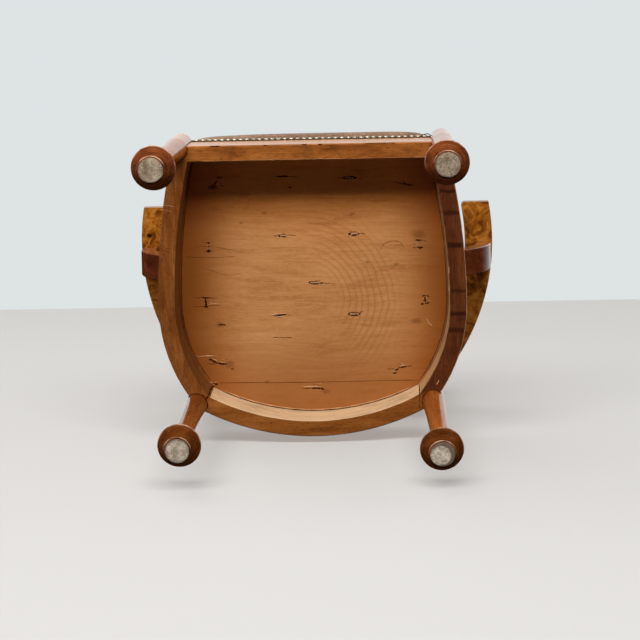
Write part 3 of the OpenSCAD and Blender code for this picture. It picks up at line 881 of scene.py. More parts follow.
@dataclass(frozen=True)
class PlainStuff(Finish):
    """Twine, splinters and holes: one colour broken up by fibres.

    Attributes:
        light: colour of the fibres.
        dark: colour between the fibres.
        size: how many fibres lie in a metre.
        depth: depth of the fibres in metres.
    """

    light: Colour
    dark: Colour
    size: float
    depth: float

    def paint(self, g: Graph) -> None:
        """Draws the stuff.

        Args:
            g: the graph.
        """
        fibres = g.noise(g.where, self.size, 3, 0.6, 0.8)
        colour = g.mix(g.remap(fibres, 0.4, 0.62), self.dark, self.light)
        g.surface(colour, 0.9, g.bump(fibres, self.depth), specular=0.02)


# Meshes


class Shell:
    """Collects grid surfaces in millimetres and makes one mesh object of them.

    Attributes:
        origin: where the millimetres count from, in metres.
        points: the points of each surface, in metres.
        faces: the faces of all surfaces.
        count: how many points there are.
    """

    def __init__(self, origin: Sequence[float]) -> None:
        """Starts with no surface.

        Args:
            origin: where the millimetres count from, in metres.
        """
        self.origin = np.array(origin, float)
        self.points: list[Array] = []
        self.faces: list[list[int]] = []
        self.count = 0

    def add(self, grid: Array) -> None:
        """Adds a surface of rows of points, whose last column joins the first.

        The first and the last row are closed by a fan to the mean of their points.

        Args:
            grid: array of rows, columns and 3.
        """
        rows, cols, _ = grid.shape
        i, j = np.meshgrid(np.arange(rows - 1), np.arange(cols), indexing="ij")
        n = (j + 1) % cols
        quads = np.stack([i * cols + j, i * cols + n, (i + 1) * cols + n, (i + 1) * cols + j], -1)
        ring = np.arange(cols) + self.count
        first = np.stack([np.full(cols, self.count + rows * cols), np.roll(ring, -1), ring], -1)
        ring = ring + (rows - 1) * cols
        last = np.stack([np.full(cols, self.count + rows * cols + 1), ring, np.roll(ring, -1)], -1)
        placed = grid * MM + self.origin
        self.points += [placed.reshape(-1, 3), np.stack([placed[0].mean(0), placed[-1].mean(0)])]
        self.faces += (quads.reshape(-1, 4) + self.count).tolist() + first.tolist() + last.tolist()
        self.count += rows * cols + 2

    def build(self, name: str, material: Material) -> Object:
        """Makes the mesh object, smooth and with its faces pointing outwards.

        Args:
            name: name of the object.
            material: its material.

        Returns:
            The object.
        """
        mesh = bpy.data.meshes.new(name)
        mesh.from_pydata(np.concatenate(self.points).tolist(), [], self.faces)
        mesh.polygons.foreach_set("use_smooth", np.ones(len(mesh.polygons), bool))
        work = bmesh.new()
        work.from_mesh(mesh)
        bmesh.ops.recalc_face_normals(work, faces=work.faces[:])
        work.to_mesh(mesh)
        work.free()
        mesh.materials.append(material)
        mesh.validate()
        return link(bpy.data.objects.new(name, mesh))


def link(made: Object) -> Object:
    """Puts a new object into the scene and gives it back."""
    bpy.context.scene.collection.objects.link(made)
    return made


def coordinates(mesh: bpy.types.Mesh) -> Array:
    """Reads the places of a mesh's points.

    Args:
        mesh: the mesh.

    Returns:
        An array of points and 3, in metres.
    """
    flat = np.empty(len(mesh.vertices) * 3)
    mesh.vertices.foreach_get("co", flat)
    return flat.reshape(-1, 3)


def note(mesh: bpy.types.Mesh, name: str, values: Array) -> None:
    """Writes a value at each point of a mesh, for its material."""
    mesh.attributes.new(name, "FLOAT", "POINT").data.foreach_set("value", values)


def circle(count: int) -> Array:
    """Angles of even points round a circle, from 0."""
    return np.linspace(0, 2 * np.pi, count, endpoint=False)


def tube(path: Array, radius: Array | float, sides: int = 8) -> Array:
    """A round tube along a path.

    The rings' normals are the tangent crossed with the axis along which the path spreads least.

    Args:
        path: points of the middle line, in order.
        radius: radius at each point, or one for all.
        sides: number of points round the tube.

    Returns:
        The tube as rows, columns and 3.
    """
    tangent = np.gradient(path, axis=0)
    tangent /= np.linalg.norm(tangent, axis=1, keepdims=True) + 1e-12
    fixed = np.eye(3)[int(np.argmin(np.ptp(path, axis=0)))]
    normal = np.cross(tangent, fixed)
    normal /= np.linalg.norm(normal, axis=1, keepdims=True) + 1e-12
    binormal = np.cross(tangent, normal)
    angle = circle(sides)
    size = np.broadcast_to(np.asarray(radius, float), (len(path),))[:, None, None]
    cosine, sine = np.cos(angle)[None, :, None], np.sin(angle)[None, :, None]
    return path[:, None] + size * (cosine * normal[:, None] + sine * binormal[:, None])


def sliver(path: Array, width: Array, height: Array) -> Array:
    """A flat closed strip along a level path.

    Each ring is an upright ellipse across the path, as wide and as high as the strip.

    Args:
        path: points of the middle line.
        width: width at each point.
        height: height at each point.

    Returns:
        The strip as rows, columns and 3.
    """
    tangent = np.gradient(path, axis=0)
    across = np.stack([-tangent[:, 1], tangent[:, 0], np.zeros(len(path))], -1)
    across /= np.linalg.norm(across, axis=1, keepdims=True) + 1e-12
    turn = circle(8)
    ring = path[:, None] + 0.5 * width[:, None, None] * np.cos(turn)[None, :, None] * across[:, None]
    ring[..., 2] += 0.5 * height[:, None] * np.sin(turn)[None]
    return ring


def smooth_path(knots: Array, steps: int) -> Array:
    """A curve through the given knots with slopes taken from their neighbours (Catmull-Rom).

    Args:
        knots: array of knots and their coordinates.
        steps: number of points in the result.

    Returns:
        The curve's points.
    """
    padded = np.vstack([2 * knots[0] - knots[1], knots, 2 * knots[-1] - knots[-2]])
    t = np.linspace(0, len(knots) - 1 - 1e-9, steps)
    i = t.astype(int)
    f = (t - i)[:, None]
    a, b, c, d = (padded[i + k] for k in range(4))
    return 0.5 * (2 * b + (c - a) * f + (2 * a - 5 * b + 4 * c - d) * f**2 + (3 * b - a - 3 * c + d) * f**3)


def turned(profile: Array, columns: int) -> Array:
    """A profile of radius and height carried round the vertical axis.

    Args:
        profile: rows of radius and height.
        columns: points round the axis.

    Returns:
        The surface as rows, columns and 3.
    """
    angle = circle(columns)
    x = profile[:, :1] * np.cos(angle)
    y = profile[:, :1] * np.sin(angle)
    return np.stack([x, y, np.broadcast_to(profile[:, 1:2], x.shape)], -1)


def finish_piece(piece: Object, slot: str, *nodes: str) -> Object:
    """Rides a new piece on the chair and hides the nodes that it stands for.

    Args:
        piece: the piece.
        slot: its material slot in the part; not used.
        nodes: names of the CAD nodes that it replaces.

    Returns:
        The piece.
    """
    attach(piece, "root")
    if nodes:
        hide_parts(*nodes)
    LOG.info("%s: %d faces", piece.name, len(piece.data.polygons))
    return piece


# Camera and studio


@dataclass
class PhotoCamera:
    """The camera of the photograph, worked out from where the chair's upright lines meet.

    Attributes:
        frame: width of the frame in pixels.
        focal: focal length in pixels of that frame.
        meet: where upright lines meet, right and down of the middle of the frame, in pixels.
        roll: turn of the chair's left to right line, in radians.
        place: position of the lens in metres.
        sensor: width of the sensor in millimetres.
    """

    frame: float = 640.0
    focal: float = 1958.0
    meet: Pair = (59.05, -354.01)
    roll: float = 0.0223
    place: Colour = (0.1271, -0.5547, -3.064)
    sensor: float = 36.0

    def build(self) -> None:
        """Adds the camera and makes it the scene's own."""
        up = np.array([*self.meet, self.focal])
        up /= np.linalg.norm(up)
        across = np.array([math.cos(self.roll), -math.sin(self.roll), 0.0])
        across -= up * (across @ up)
        across /= np.linalg.norm(across)
        right, down, ahead = np.stack([across, np.cross(up, across), up], axis=1)
        turn = Matrix(np.stack([right, -down, -ahead], axis=1).tolist()).to_4x4()
        lens = bpy.data.cameras.new("photo_camera")
        lens.sensor_fit = "HORIZONTAL"
        lens.sensor_width = self.sensor
        lens.lens = self.sensor * self.focal / self.frame
        lens.clip_end = 60.0
        camera = link(bpy.data.objects.new("photo_camera", lens))
        camera.matrix_world = Matrix.Translation(Vector(self.place)) @ turn
        bpy.context.scene.camera = camera


@dataclass(frozen=True)
class Lamp:
    """A soft rectangular lamp that points at the seat.

    Attributes:
        name: its name.
        place: where it hangs, in metres.
        wide: its width in metres.
        high: its height in metres.
        power: its power in watts.
        mirrored: whether it shows in reflections.
    """

    name: str
    place: Colour
    wide: float
    high: float
    power: float
    mirrored: bool = True

    def build(self, aim: Colour) -> None:
        """Adds the lamp.

        Args:
            aim: the place that it points at, in metres.
        """
        light = bpy.data.lights.new(self.name, "AREA")
        light.shape = "RECTANGLE"
        light.size, light.size_y, light.energy = self.wide, self.high, self.power
        made = link(bpy.data.objects.new(self.name, light))
        made.location = self.place
        made.visible_glossy = self.mirrored
        made.rotation_euler = (Vector(aim) - Vector(self.place)).to_track_quat("-Z", "Y").to_euler()


@dataclass
class Studio:
    """A pale floor, a pale backdrop behind the chair's back and soft lamps, all in metres.

    The first lamp stands low in front and lights the underside. The others hang above, round the chair.

    Attributes:
        back_y: Y of the backdrop, on which the back of the chair rests.
        floor_colour: colour of the floor and the backdrop.
        wall_colour: colour of the far wall and the sky.
        wall_z: height of the far wall.
        floor_side: length and width of the floor.
        backdrop: width and height of the backdrop.
        wall_side: depth of the far wall.
        ambient: strength of the light from all round.
        aim: the place that the lamps point at.
        lamps: the lamps.
    """

    back_y: float
    floor_colour: Colour = srgb(206, 204, 201)
    wall_colour: Colour = srgb(222, 227, 228)
    wall_z: float = 1.8
    floor_side: float = 12.0
    backdrop: float = 6.0
    wall_side: float = 5.0
    ambient: float = 0.07
    aim: Colour = (0, 0, 0.4)
    lamps: tuple[Lamp, ...] = (
        Lamp("key_lamp", (-0.2, -2.56, -1.61), 4.6, 1.1, 172),
        Lamp("front_lamp", (-1.1, -2.8, 2.0), 2.8, 2.2, 60),
        Lamp("left_lamp", (-2.8, 0.3, 1.9), 2.8, 2.2, 52, False),
        Lamp("right_lamp", (2.8, -0.2, 1.9), 2.8, 2.2, 52, False),
        Lamp("back_lamp", (0.4, 3.0, 1.9), 2.8, 2.2, 70, False),
    )

    def build(self) -> None:
        """Adds the surfaces, the sky and the lamps."""
        floor = self._pale("floor_paint", self.floor_colour, 0.5)
        wall = self._pale("wall_paint", self.wall_colour, 1.0)
        side, drop = self.floor_side, self.backdrop
        corner = (-drop / 2, self.back_y, self.wall_z)
        self._plane("stage_floor", floor, (-side / 2, -side / 2, 0), (side, 0, 0), (0, side, 0))
        self._plane("stage_back", floor, corner, (0, 0, -drop), (drop, 0, 0))
        self._plane("stage_wall", wall, corner, (drop, 0, 0), (0, -self.wall_side, 0))
        self._sky()
        for lamp in self.lamps:
            lamp.build(self.aim)

    def _pale(self, name: str, colour: Colour, own: float) -> Material:
        """Paint that only the camera sees, and only from its front.

        Its own glow grows with the distance, from 1.2 to 3.4 m, so that the far floor stays as pale.

        Args:
            name: name of the material.
            colour: colour of the paint.
            own: share of its colour that shows without light near the chair.

        Returns:
            The material.
        """
        g = Graph(name)
        soft = g.node("ShaderNodeBsdfDiffuse")
        glow = g.node("ShaderNodeEmission")
        for shader in (soft, glow):
            g.put(shader.inputs["Color"], colour)
        far = g.node("ShaderNodeVectorMath", operation="LENGTH")
        g.put(far.inputs[0], g.where)
        lit = self._blend(g, g.remap(far.outputs["Value"], 1.2, 3.4, own, 1.0), soft, glow)
        seen = g.node("ShaderNodeLightPath").outputs["Is Camera Ray"]
        behind = g.node("ShaderNodeNewGeometry").outputs["Backfacing"]
        shown = self._blend(g, g.times(seen, g.less(1.0, behind)), g.node("ShaderNodeBsdfTransparent"), lit)
        g.put(g.node("ShaderNodeOutputMaterial").inputs["Surface"], shown.outputs[0])
        return g.material

    def _blend(self, g: Graph, share: Socket, a: bpy.types.Node, b: bpy.types.Node) -> bpy.types.Node:
        """Blends two shaders.

        Args:
            g: the graph.
            share: share of the second shader.
            a: the first shader.
            b: the second shader.

        Returns:
            The blended shader.
        """
        made = g.node("ShaderNodeMixShader")
        for socket, value in zip(made.inputs, (share, a.outputs[0], b.outputs[0])):
            g.put(socket, value)
        return made

    def _plane(self, name: str, paint: Material, corner: Colour, u: Colour, v: Colour) -> None:
        """A flat stage sheet that faces along u cross v.

        Args:
            name: its name.
            paint: its material.
            corner: one corner.
            u: one side.
            v: the other side.
        """
        a, b, c = (np.array(p, float) for p in (corner, u, v))
        mesh = bpy.data.meshes.new(name)
        corners = [point.tolist() for point in (a, a + b, a + b + c, a + c)]
        mesh.from_pydata(corners, [], [(0, 1, 2, 3)])
        mesh.materials.append(paint)
        link(bpy.data.objects.new(name, mesh))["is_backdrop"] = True

    def _sky(self) -> None:
        """Light from all round, with the wall's colour for the camera and for reflections.

        What shows in reflections is brighter straight up: the strength goes from 1 to 1.5 as the
        direction's Z goes from 0.95 to 0.99.
        """
        world = bpy.data.worlds.new("studio_sky")
        bpy.context.scene.world = world
        world.use_nodes = True
        tree = world.node_tree
        tree.nodes.clear()
        path = tree.nodes.new("ShaderNodeLightPath")
        seen = tree.nodes.new("ShaderNodeMath")
        seen.operation = "MAXIMUM"
        where = tree.nodes.new("ShaderNodeTexCoord")
        axes = tree.nodes.new("ShaderNodeSeparateXYZ")
        high = tree.nodes.new("ShaderNodeMapRange")
        for index, value in enumerate((0.95, 0.99, 1.0, 1.5), 1):
            high.inputs[index].default_value = value
        around, shown = (tree.nodes.new("ShaderNodeBackground") for _ in range(2))
        around.inputs[0].default_value = (1, 1, 1, 1)
        around.inputs[1].default_value = self.ambient
        shown.inputs[0].default_value = (*self.wall_colour, 1)
        mixed = tree.nodes.new("ShaderNodeMixShader")
        out = tree.nodes.new("ShaderNodeOutputWorld")
        for output, socket in (
            (path.outputs["Is Camera Ray"], seen.inputs[0]),
            (path.outputs["Is Glossy Ray"], seen.inputs[1]),
            (where.outputs["Generated"], axes.inputs[0]),
            (axes.outputs[2], high.inputs[0]),
            (high.outputs[0], shown.inputs[1]),
            (seen.outputs[0], mixed.inputs[0]),
            (around.outputs[0], mixed.inputs[1]),
            (shown.outputs[0], mixed.inputs[2]),
            (mixed.outputs[0], out.inputs[0]),
        ):
            tree.links.new(output, socket)


# Seat


TUFTS: tuple[Pair, ...] = (
    (-171, 73), (-52, 64), (62, 66), (170, 78), (-190, 190), (-60, 170), (70, 169), (191, 191),
    (2, 257), (-196, 290), (-67, 316), (71, 315), (199, 292), (-172, 398), (158, 412), (-3, 446),
)


@dataclass(frozen=True)
class SeatFrame:
    """Sizes of the rails that the leather and the joint lines follow.

    Each side rail is a long arc and a short arc of circles that meet, and the rear rail is one arc.

    Attributes:
        face_y: Y of the front rail's face in metres.
        half_width: X of a side rail's outer face where its arcs meet.
        depth: Y of the rear rail's outer face at its middle.
        bend_y: Y where the arcs of a side rail meet.
        side_radius: radius of its long arc, outside.
        corner_radius: radius of its short arc, outside.
        rear_radius: radius of the rear rail's arc, outside.
        side_thick: thickness of a side rail.
        rear_thick: thickness of the rear rail.
        rail_top: height of the rails' upper faces.
        rail_low: height of their undersides.
        board_low: height of the seat board's underside.
        front_legs: X and Y of the left front leg's top.
        rear_legs: X and Y of the left rear leg's top.
    """

    face_y: float
    half_width: float = 272.5
    depth: float = 522.5
    bend_y: float = 287.0
    side_radius: float = 1160.0
    corner_radius: float = 285.0
    rear_radius: float = 425.0
    side_thick: float = 30.0
    rear_thick: float = 29.0
    rail_top: float = 435.0
    rail_low: float = 338.0
    board_low: float = 417.0
    front_legs: Pair = (232.0, 4.5)
    rear_legs: Pair = (211.0, 461.0)

    def origin(self) -> tuple[float, float, float]:
        """Where the millimetres count from, in metres."""
        return (0.0, self.face_y, 0.0)

    def metres(self, points: Array) -> Array:
        """Turns millimetres from the front face into metres."""
        return points * MM + np.array(self.origin())

    def shell(self) -> Shell:
        """An empty shell whose millimetres count from the front face."""
        return Shell(self.origin())


@dataclass
class SeatCushion:
    """The crowned, buttoned leather form of the seat.

    Attributes:
        frame: the rails that it sits on.
        middle_y: Y of its middle.
        crown: height of the top above the rails.
        fall: how much lower the top would be at its outline.
        rim: inset from the outline and height above the rails of the rim's profile, from the foot up.
        bulge: how far it stands out over the front rail.
        inset: how far it stays inside the other rails' outer faces.
        corner_power: power of the mean that rounds its corners.
        tuft_depth: depth of the hollows at the buttons.
        tuft_reach: reach of the hollows.
        fold_reach: longest distance of two buttons that a fold joins.
        button: diameter of a button.
        columns: points round the seat.
        top_rows: rings over the top.
        voxel: size of the even mesh for the filling.
        pressure: pressure of the filling.
        cap: how far a point may move while it is filled.
        steps: frames of the filling.
    """

    frame: SeatFrame
    middle_y: float = 255.0
    crown: float = 51.0
    fall: float = 14.0
    rim: tuple[Pair, ...] = ((30, 0.4), (8, 0.4), (2.5, 5), (0, 15), (2, 24), (8, 31), (13, 36.6))
    bulge: float = 10.0
    inset: float = 3.0
    corner_power: float = 13.0
    tuft_depth: float = 13.0
    tuft_reach: float = 30.0
    fold_reach: float = 150.0
    button: float = 19.0
    columns: int = 480
    top_rows: int = 112
    voxel: float = 5.0
    pressure: float = 4.0
    cap: float = 7.0
    steps: int = 20

    def _reach(self, dx: Array, dy: Array, x: float, y: float, radius: float) -> Array:
        """Distance from the seat's middle to a circle round it: the larger root of a quadratic.

        Args:
            dx: X of the directions.
            dy: Y of the directions.
            x: X of the circle's middle.
            y: its Y.
            radius: its radius.

        Returns:
            The distances.
        """
        b = dx * x + dy * (y - self.middle_y)
        c = x**2 + (y - self.middle_y) ** 2 - radius**2
        return b + np.sqrt(b * b - c)

    def outline(self, angle: Array) -> Array:
        """Radius of the leather's outline.

        It is a power mean of the distances to the frame's front, side and rear lines, less a notch at the
        back posts and a flatter place at the left of the front, which are bell curves.

        Args:
            angle: directions round the seat's middle.

        Returns:
            The radii.
        """
        f = self.frame
        dx, dy = np.cos(angle), np.sin(angle)
        arcs = (f.corner_radius, f.side_radius)
        short, long = (
            self._reach(np.abs(dx), dy, f.half_width - r, f.bend_y, r - self.inset) for r in arcs
        )
        front = (self.middle_y + self.bulge) / np.maximum(0.01, -dy)
        side = np.where(dy > 0.12, short, long)
        rear = self._reach(dx, dy, 0, f.depth - f.rear_radius, f.rear_radius - self.inset)
        post = math.atan2(f.rear_legs[1] - self.middle_y, f.rear_legs[0])
        off = np.degrees(np.abs(np.arctan2(dy, np.abs(dx))) - post)
        notch = np.where(dy > 0, 9 * np.exp(-off * off / 30), 0)
        power = -self.corner_power
        reach = (front**power + side**power + rear**power) ** (1 / power) - notch
        flat = np.where(dy < -0.4, 2.0 * np.exp(-(((reach * dx + 160) / 55) ** 2)), 0)
        return reach - flat

    def _far(self, x: Array, y: Array) -> Array:
        """Distance of each place to each button."""
        marks = np.array(TUFTS)
        return np.hypot(x[..., None] - marks[:, 0], y[..., None] - marks[:, 1])

    def hollows(self, x: Array, y: Array) -> Array:
        """Depth of the pull of the buttons: a bell curve round the nearest button."""
        return self.tuft_depth * np.exp(-3 * self._far(x, y) ** 2 / self.tuft_reach**2).max(-1)

    def folds(self, x: Array, y: Array) -> Array:
        """Depth of the folds and puckers.

        A fold is a bell curve of the distance to the line between two buttons, which wanders as a sine.
        The puckers round a button are a cosine of nine times the angle and fade with the distance.

        Args:
            x: X of the places.
            y: Y of the places.

        Returns:
            The depths.
        """
        far = self._far(x, y)
        marks = np.array(TUFTS)
        close = far.min(-1)
        depth = np.zeros_like(x)
        pairs = ((a, b) for a in range(len(marks)) for b in range(a + 1, len(marks)))
        for a, b in pairs:
            span = marks[b] - marks[a]
            length = np.hypot(*span)
            if length > self.fold_reach:
                continue
            t = ((x - marks[a, 0]) * span[0] + (y - marks[a, 1]) * span[1]) / length**2
            t = np.clip(t, 0, 1)
            wander = 2.2 * np.sin(np.pi * t) * np.sin(5.0 * t + a + 2 * b)
            away = np.hypot(x - marks[a, 0] - t * span[0], y - marks[a, 1] - t * span[1]) - np.abs(wander)
            deep = 2.9 - 2.2 * np.sin(np.pi * t)
            depth += deep * np.exp(-((away / 4.2) ** 2)) * np.minimum(1, close / 12)
        nearest = far.argmin(-1)
        turn = np.arctan2(y - marks[nearest, 1], x - marks[nearest, 0])
        return depth + 1.1 * np.cos(9 * turn + nearest) * np.exp(-close / 13) * np.minimum(1, close / 8)

    def top(self, x: Array, y: Array, k: Array) -> Array:
        """Height of the top: the crown less the fall times the cube of k, less the hollows, which fade out.

        Args:
            x: X of the places.
            y: Y of the places.
            k: share of the way from the middle to the outline.

        Returns:
            The heights.
        """
        fade = 1 - k**8
        return self.frame.rail_top + self.crown - self.fall * k**3 - self.hollows(x, y) * fade

    def build(self, finish: Material) -> Object:
        """The closed leather form: a rim that bulges over the rails and a crowned top, filled and creased.

        The top leaves the rim in a smooth step over its outer 6% and sags a little between the buttons.

        Args:
            finish: its material.

        Returns:
            The object.
        """
        angle = circle(self.columns)
        reach = self.outline(angle)
        rim = smooth_path(np.array(self.rim), 30)
        radius = reach[None] - rim[:, :1]
        height = np.broadcast_to(self.frame.rail_top + rim[:, 1:], radius.shape)
        rim_x, rim_y = radius * np.cos(angle), self.middle_y + radius * np.sin(angle)
        brow_inset, brow = self.rim[-1]
        k = np.linspace(1, 0.012, self.top_rows)[1:, None]
        top_r = (reach[None] - brow_inset) * k
        x, y = top_r * np.cos(angle), self.middle_y + top_r * np.sin(angle)
        z = self.top(x, y, k * 0.985)
        ease = np.clip((1 - k) / 0.06, 0, 1)
        ease = ease * ease * (3 - 2 * ease)
        z = z * ease + (1 - ease) * (self.frame.rail_top + brow + 60 * (1 - k) * 0.9)
        z = np.minimum(z, self.top(x, y, k * 0.985) + 0.2)
        sag = 0.5 * np.sin(x / 23 + 1.7 * np.sin(y / 31)) * np.sin(y / 19 + 0.9) * (1 - k**6)
        shell = self.frame.shell()
        shell.add(np.concatenate([np.stack([rim_x, rim_y, height], -1), np.stack([x, y, z + sag], -1)]))
        seat = shell.build("leather_seat", finish)
        self._fill(seat)
        self._crease(seat)
        return seat

    def _points(self, mesh: bpy.types.Mesh) -> Array:
        """The mesh's points in millimetres from the front face."""
        return (coordinates(mesh) - np.array(self.frame.origin())) / MM

    def _apply(self, seat: Object) -> None:
        """Makes the seat's modifiers part of its mesh.

        Args:
            seat: the seat.
        """
        graph = bpy.context.evaluated_depsgraph_get()
        made = bpy.data.meshes.new_from_object(seat.evaluated_get(graph))
        old = seat.data
        seat.modifiers.clear()
        seat.data = made
        bpy.data.meshes.remove(old)
        made.polygons.foreach_set("use_smooth", np.ones(len(made.polygons), bool))
        made.update()

    def _hold(self, seat: Object, start: Array) -> None:
        """Writes how firmly the cloth is held at its rim and under its buttons, in ten levels.

        Args:
            seat: the seat.
            start: its points.
        """
        near = self._far(start[:, 0], start[:, 1]).min(-1)
        rim = np.clip((self.frame.rail_top + 33 - start[:, 2]) / 8, 0, 1)
        held = np.maximum(rim, np.clip((self.button * 0.5 + 5 - near) / 5, 0, 1))
        group = seat.vertex_groups.new(name="held")
        for level in range(1, 11):
            rows = np.nonzero(np.round(held * 10).astype(int) == level)[0]
            group.add(rows.tolist(), level / 10, "REPLACE")

    def _fill(self, seat: Object) -> None:
        """Fills the leather as cloth under pressure, without gravity, held at its rim and under its buttons.

        The form is remeshed first. No point moves farther than the cap, and one subdivision follows.

        Args:
            seat: the seat.
        """
        remesh = seat.modifiers.new("even_mesh", "REMESH")
        remesh.mode, remesh.voxel_size = "VOXEL", self.voxel * MM
        self._apply(seat)
        start = self._points(seat.data)
        self._hold(seat, start)
        cloth = seat.modifiers.new("leather", "CLOTH")
        rule = cloth.settings
        rule.quality, rule.mass, rule.vertex_group_mass = 6, 0.4, "held"
        rule.tension_stiffness = rule.compression_stiffness = rule.shear_stiffness = 18
        rule.bending_stiffness, rule.air_damping = 1.5, 2
        rule.use_pressure, rule.uniform_pressure_force = True, self.pressure
        rule.effector_weights.gravity = 0
        cloth.point_cache.frame_start, cloth.point_cache.frame_end = 1, self.steps
        scene = bpy.context.scene
        for frame in range(1, self.steps + 1):
            scene.frame_set(frame)
        moved = self._points(seat.evaluated_get(bpy.context.evaluated_depsgraph_get()).data) - start
        length = np.linalg.norm(moved, axis=1, keepdims=True) + 1e-9
        moved *= np.minimum(1, self.cap / length)
        seat.modifiers.clear()
        seat.vertex_groups.clear()
        scene.frame_set(1)
        seat.data.vertices.foreach_set("co", self.frame.metres(start + moved).ravel())
        most = float(np.linalg.norm(moved, axis=1).max())
        LOG.info("leather_seat: filled, moved at most %.1f mm", most)
        finer = seat.modifiers.new("finer", "SUBSURF")
        finer.levels = finer.render_levels = 1
        self._apply(seat)

    def _crease(self, seat: Object) -> None:
        """Presses the folds and puckers into the top of the leather, and notes there where it is pressed.

        Args:
            seat: the seat.
        """
        points = self._points(seat.data)
        x, y = points[:, 0], points[:, 1]
        angle = np.arctan2(y - self.middle_y, x)
        k = np.hypot(x, y - self.middle_y) / self.outline(angle)
        fade = np.clip((0.97 - k) / 0.12, 0, 1) * (points[:, 2] > self.frame.rail_top + 20)
        folds = self.folds(x, y) * fade
        pressed = folds / 3.4 + self.hollows(x, y) * fade / self.tuft_depth * 0.5
        note(seat.data, "pressed", np.clip(pressed, 0, 1))
        points[:, 2] -= folds
        seat.data.vertices.foreach_set("co", self.frame.metres(points).ravel())
        seat.data.update()


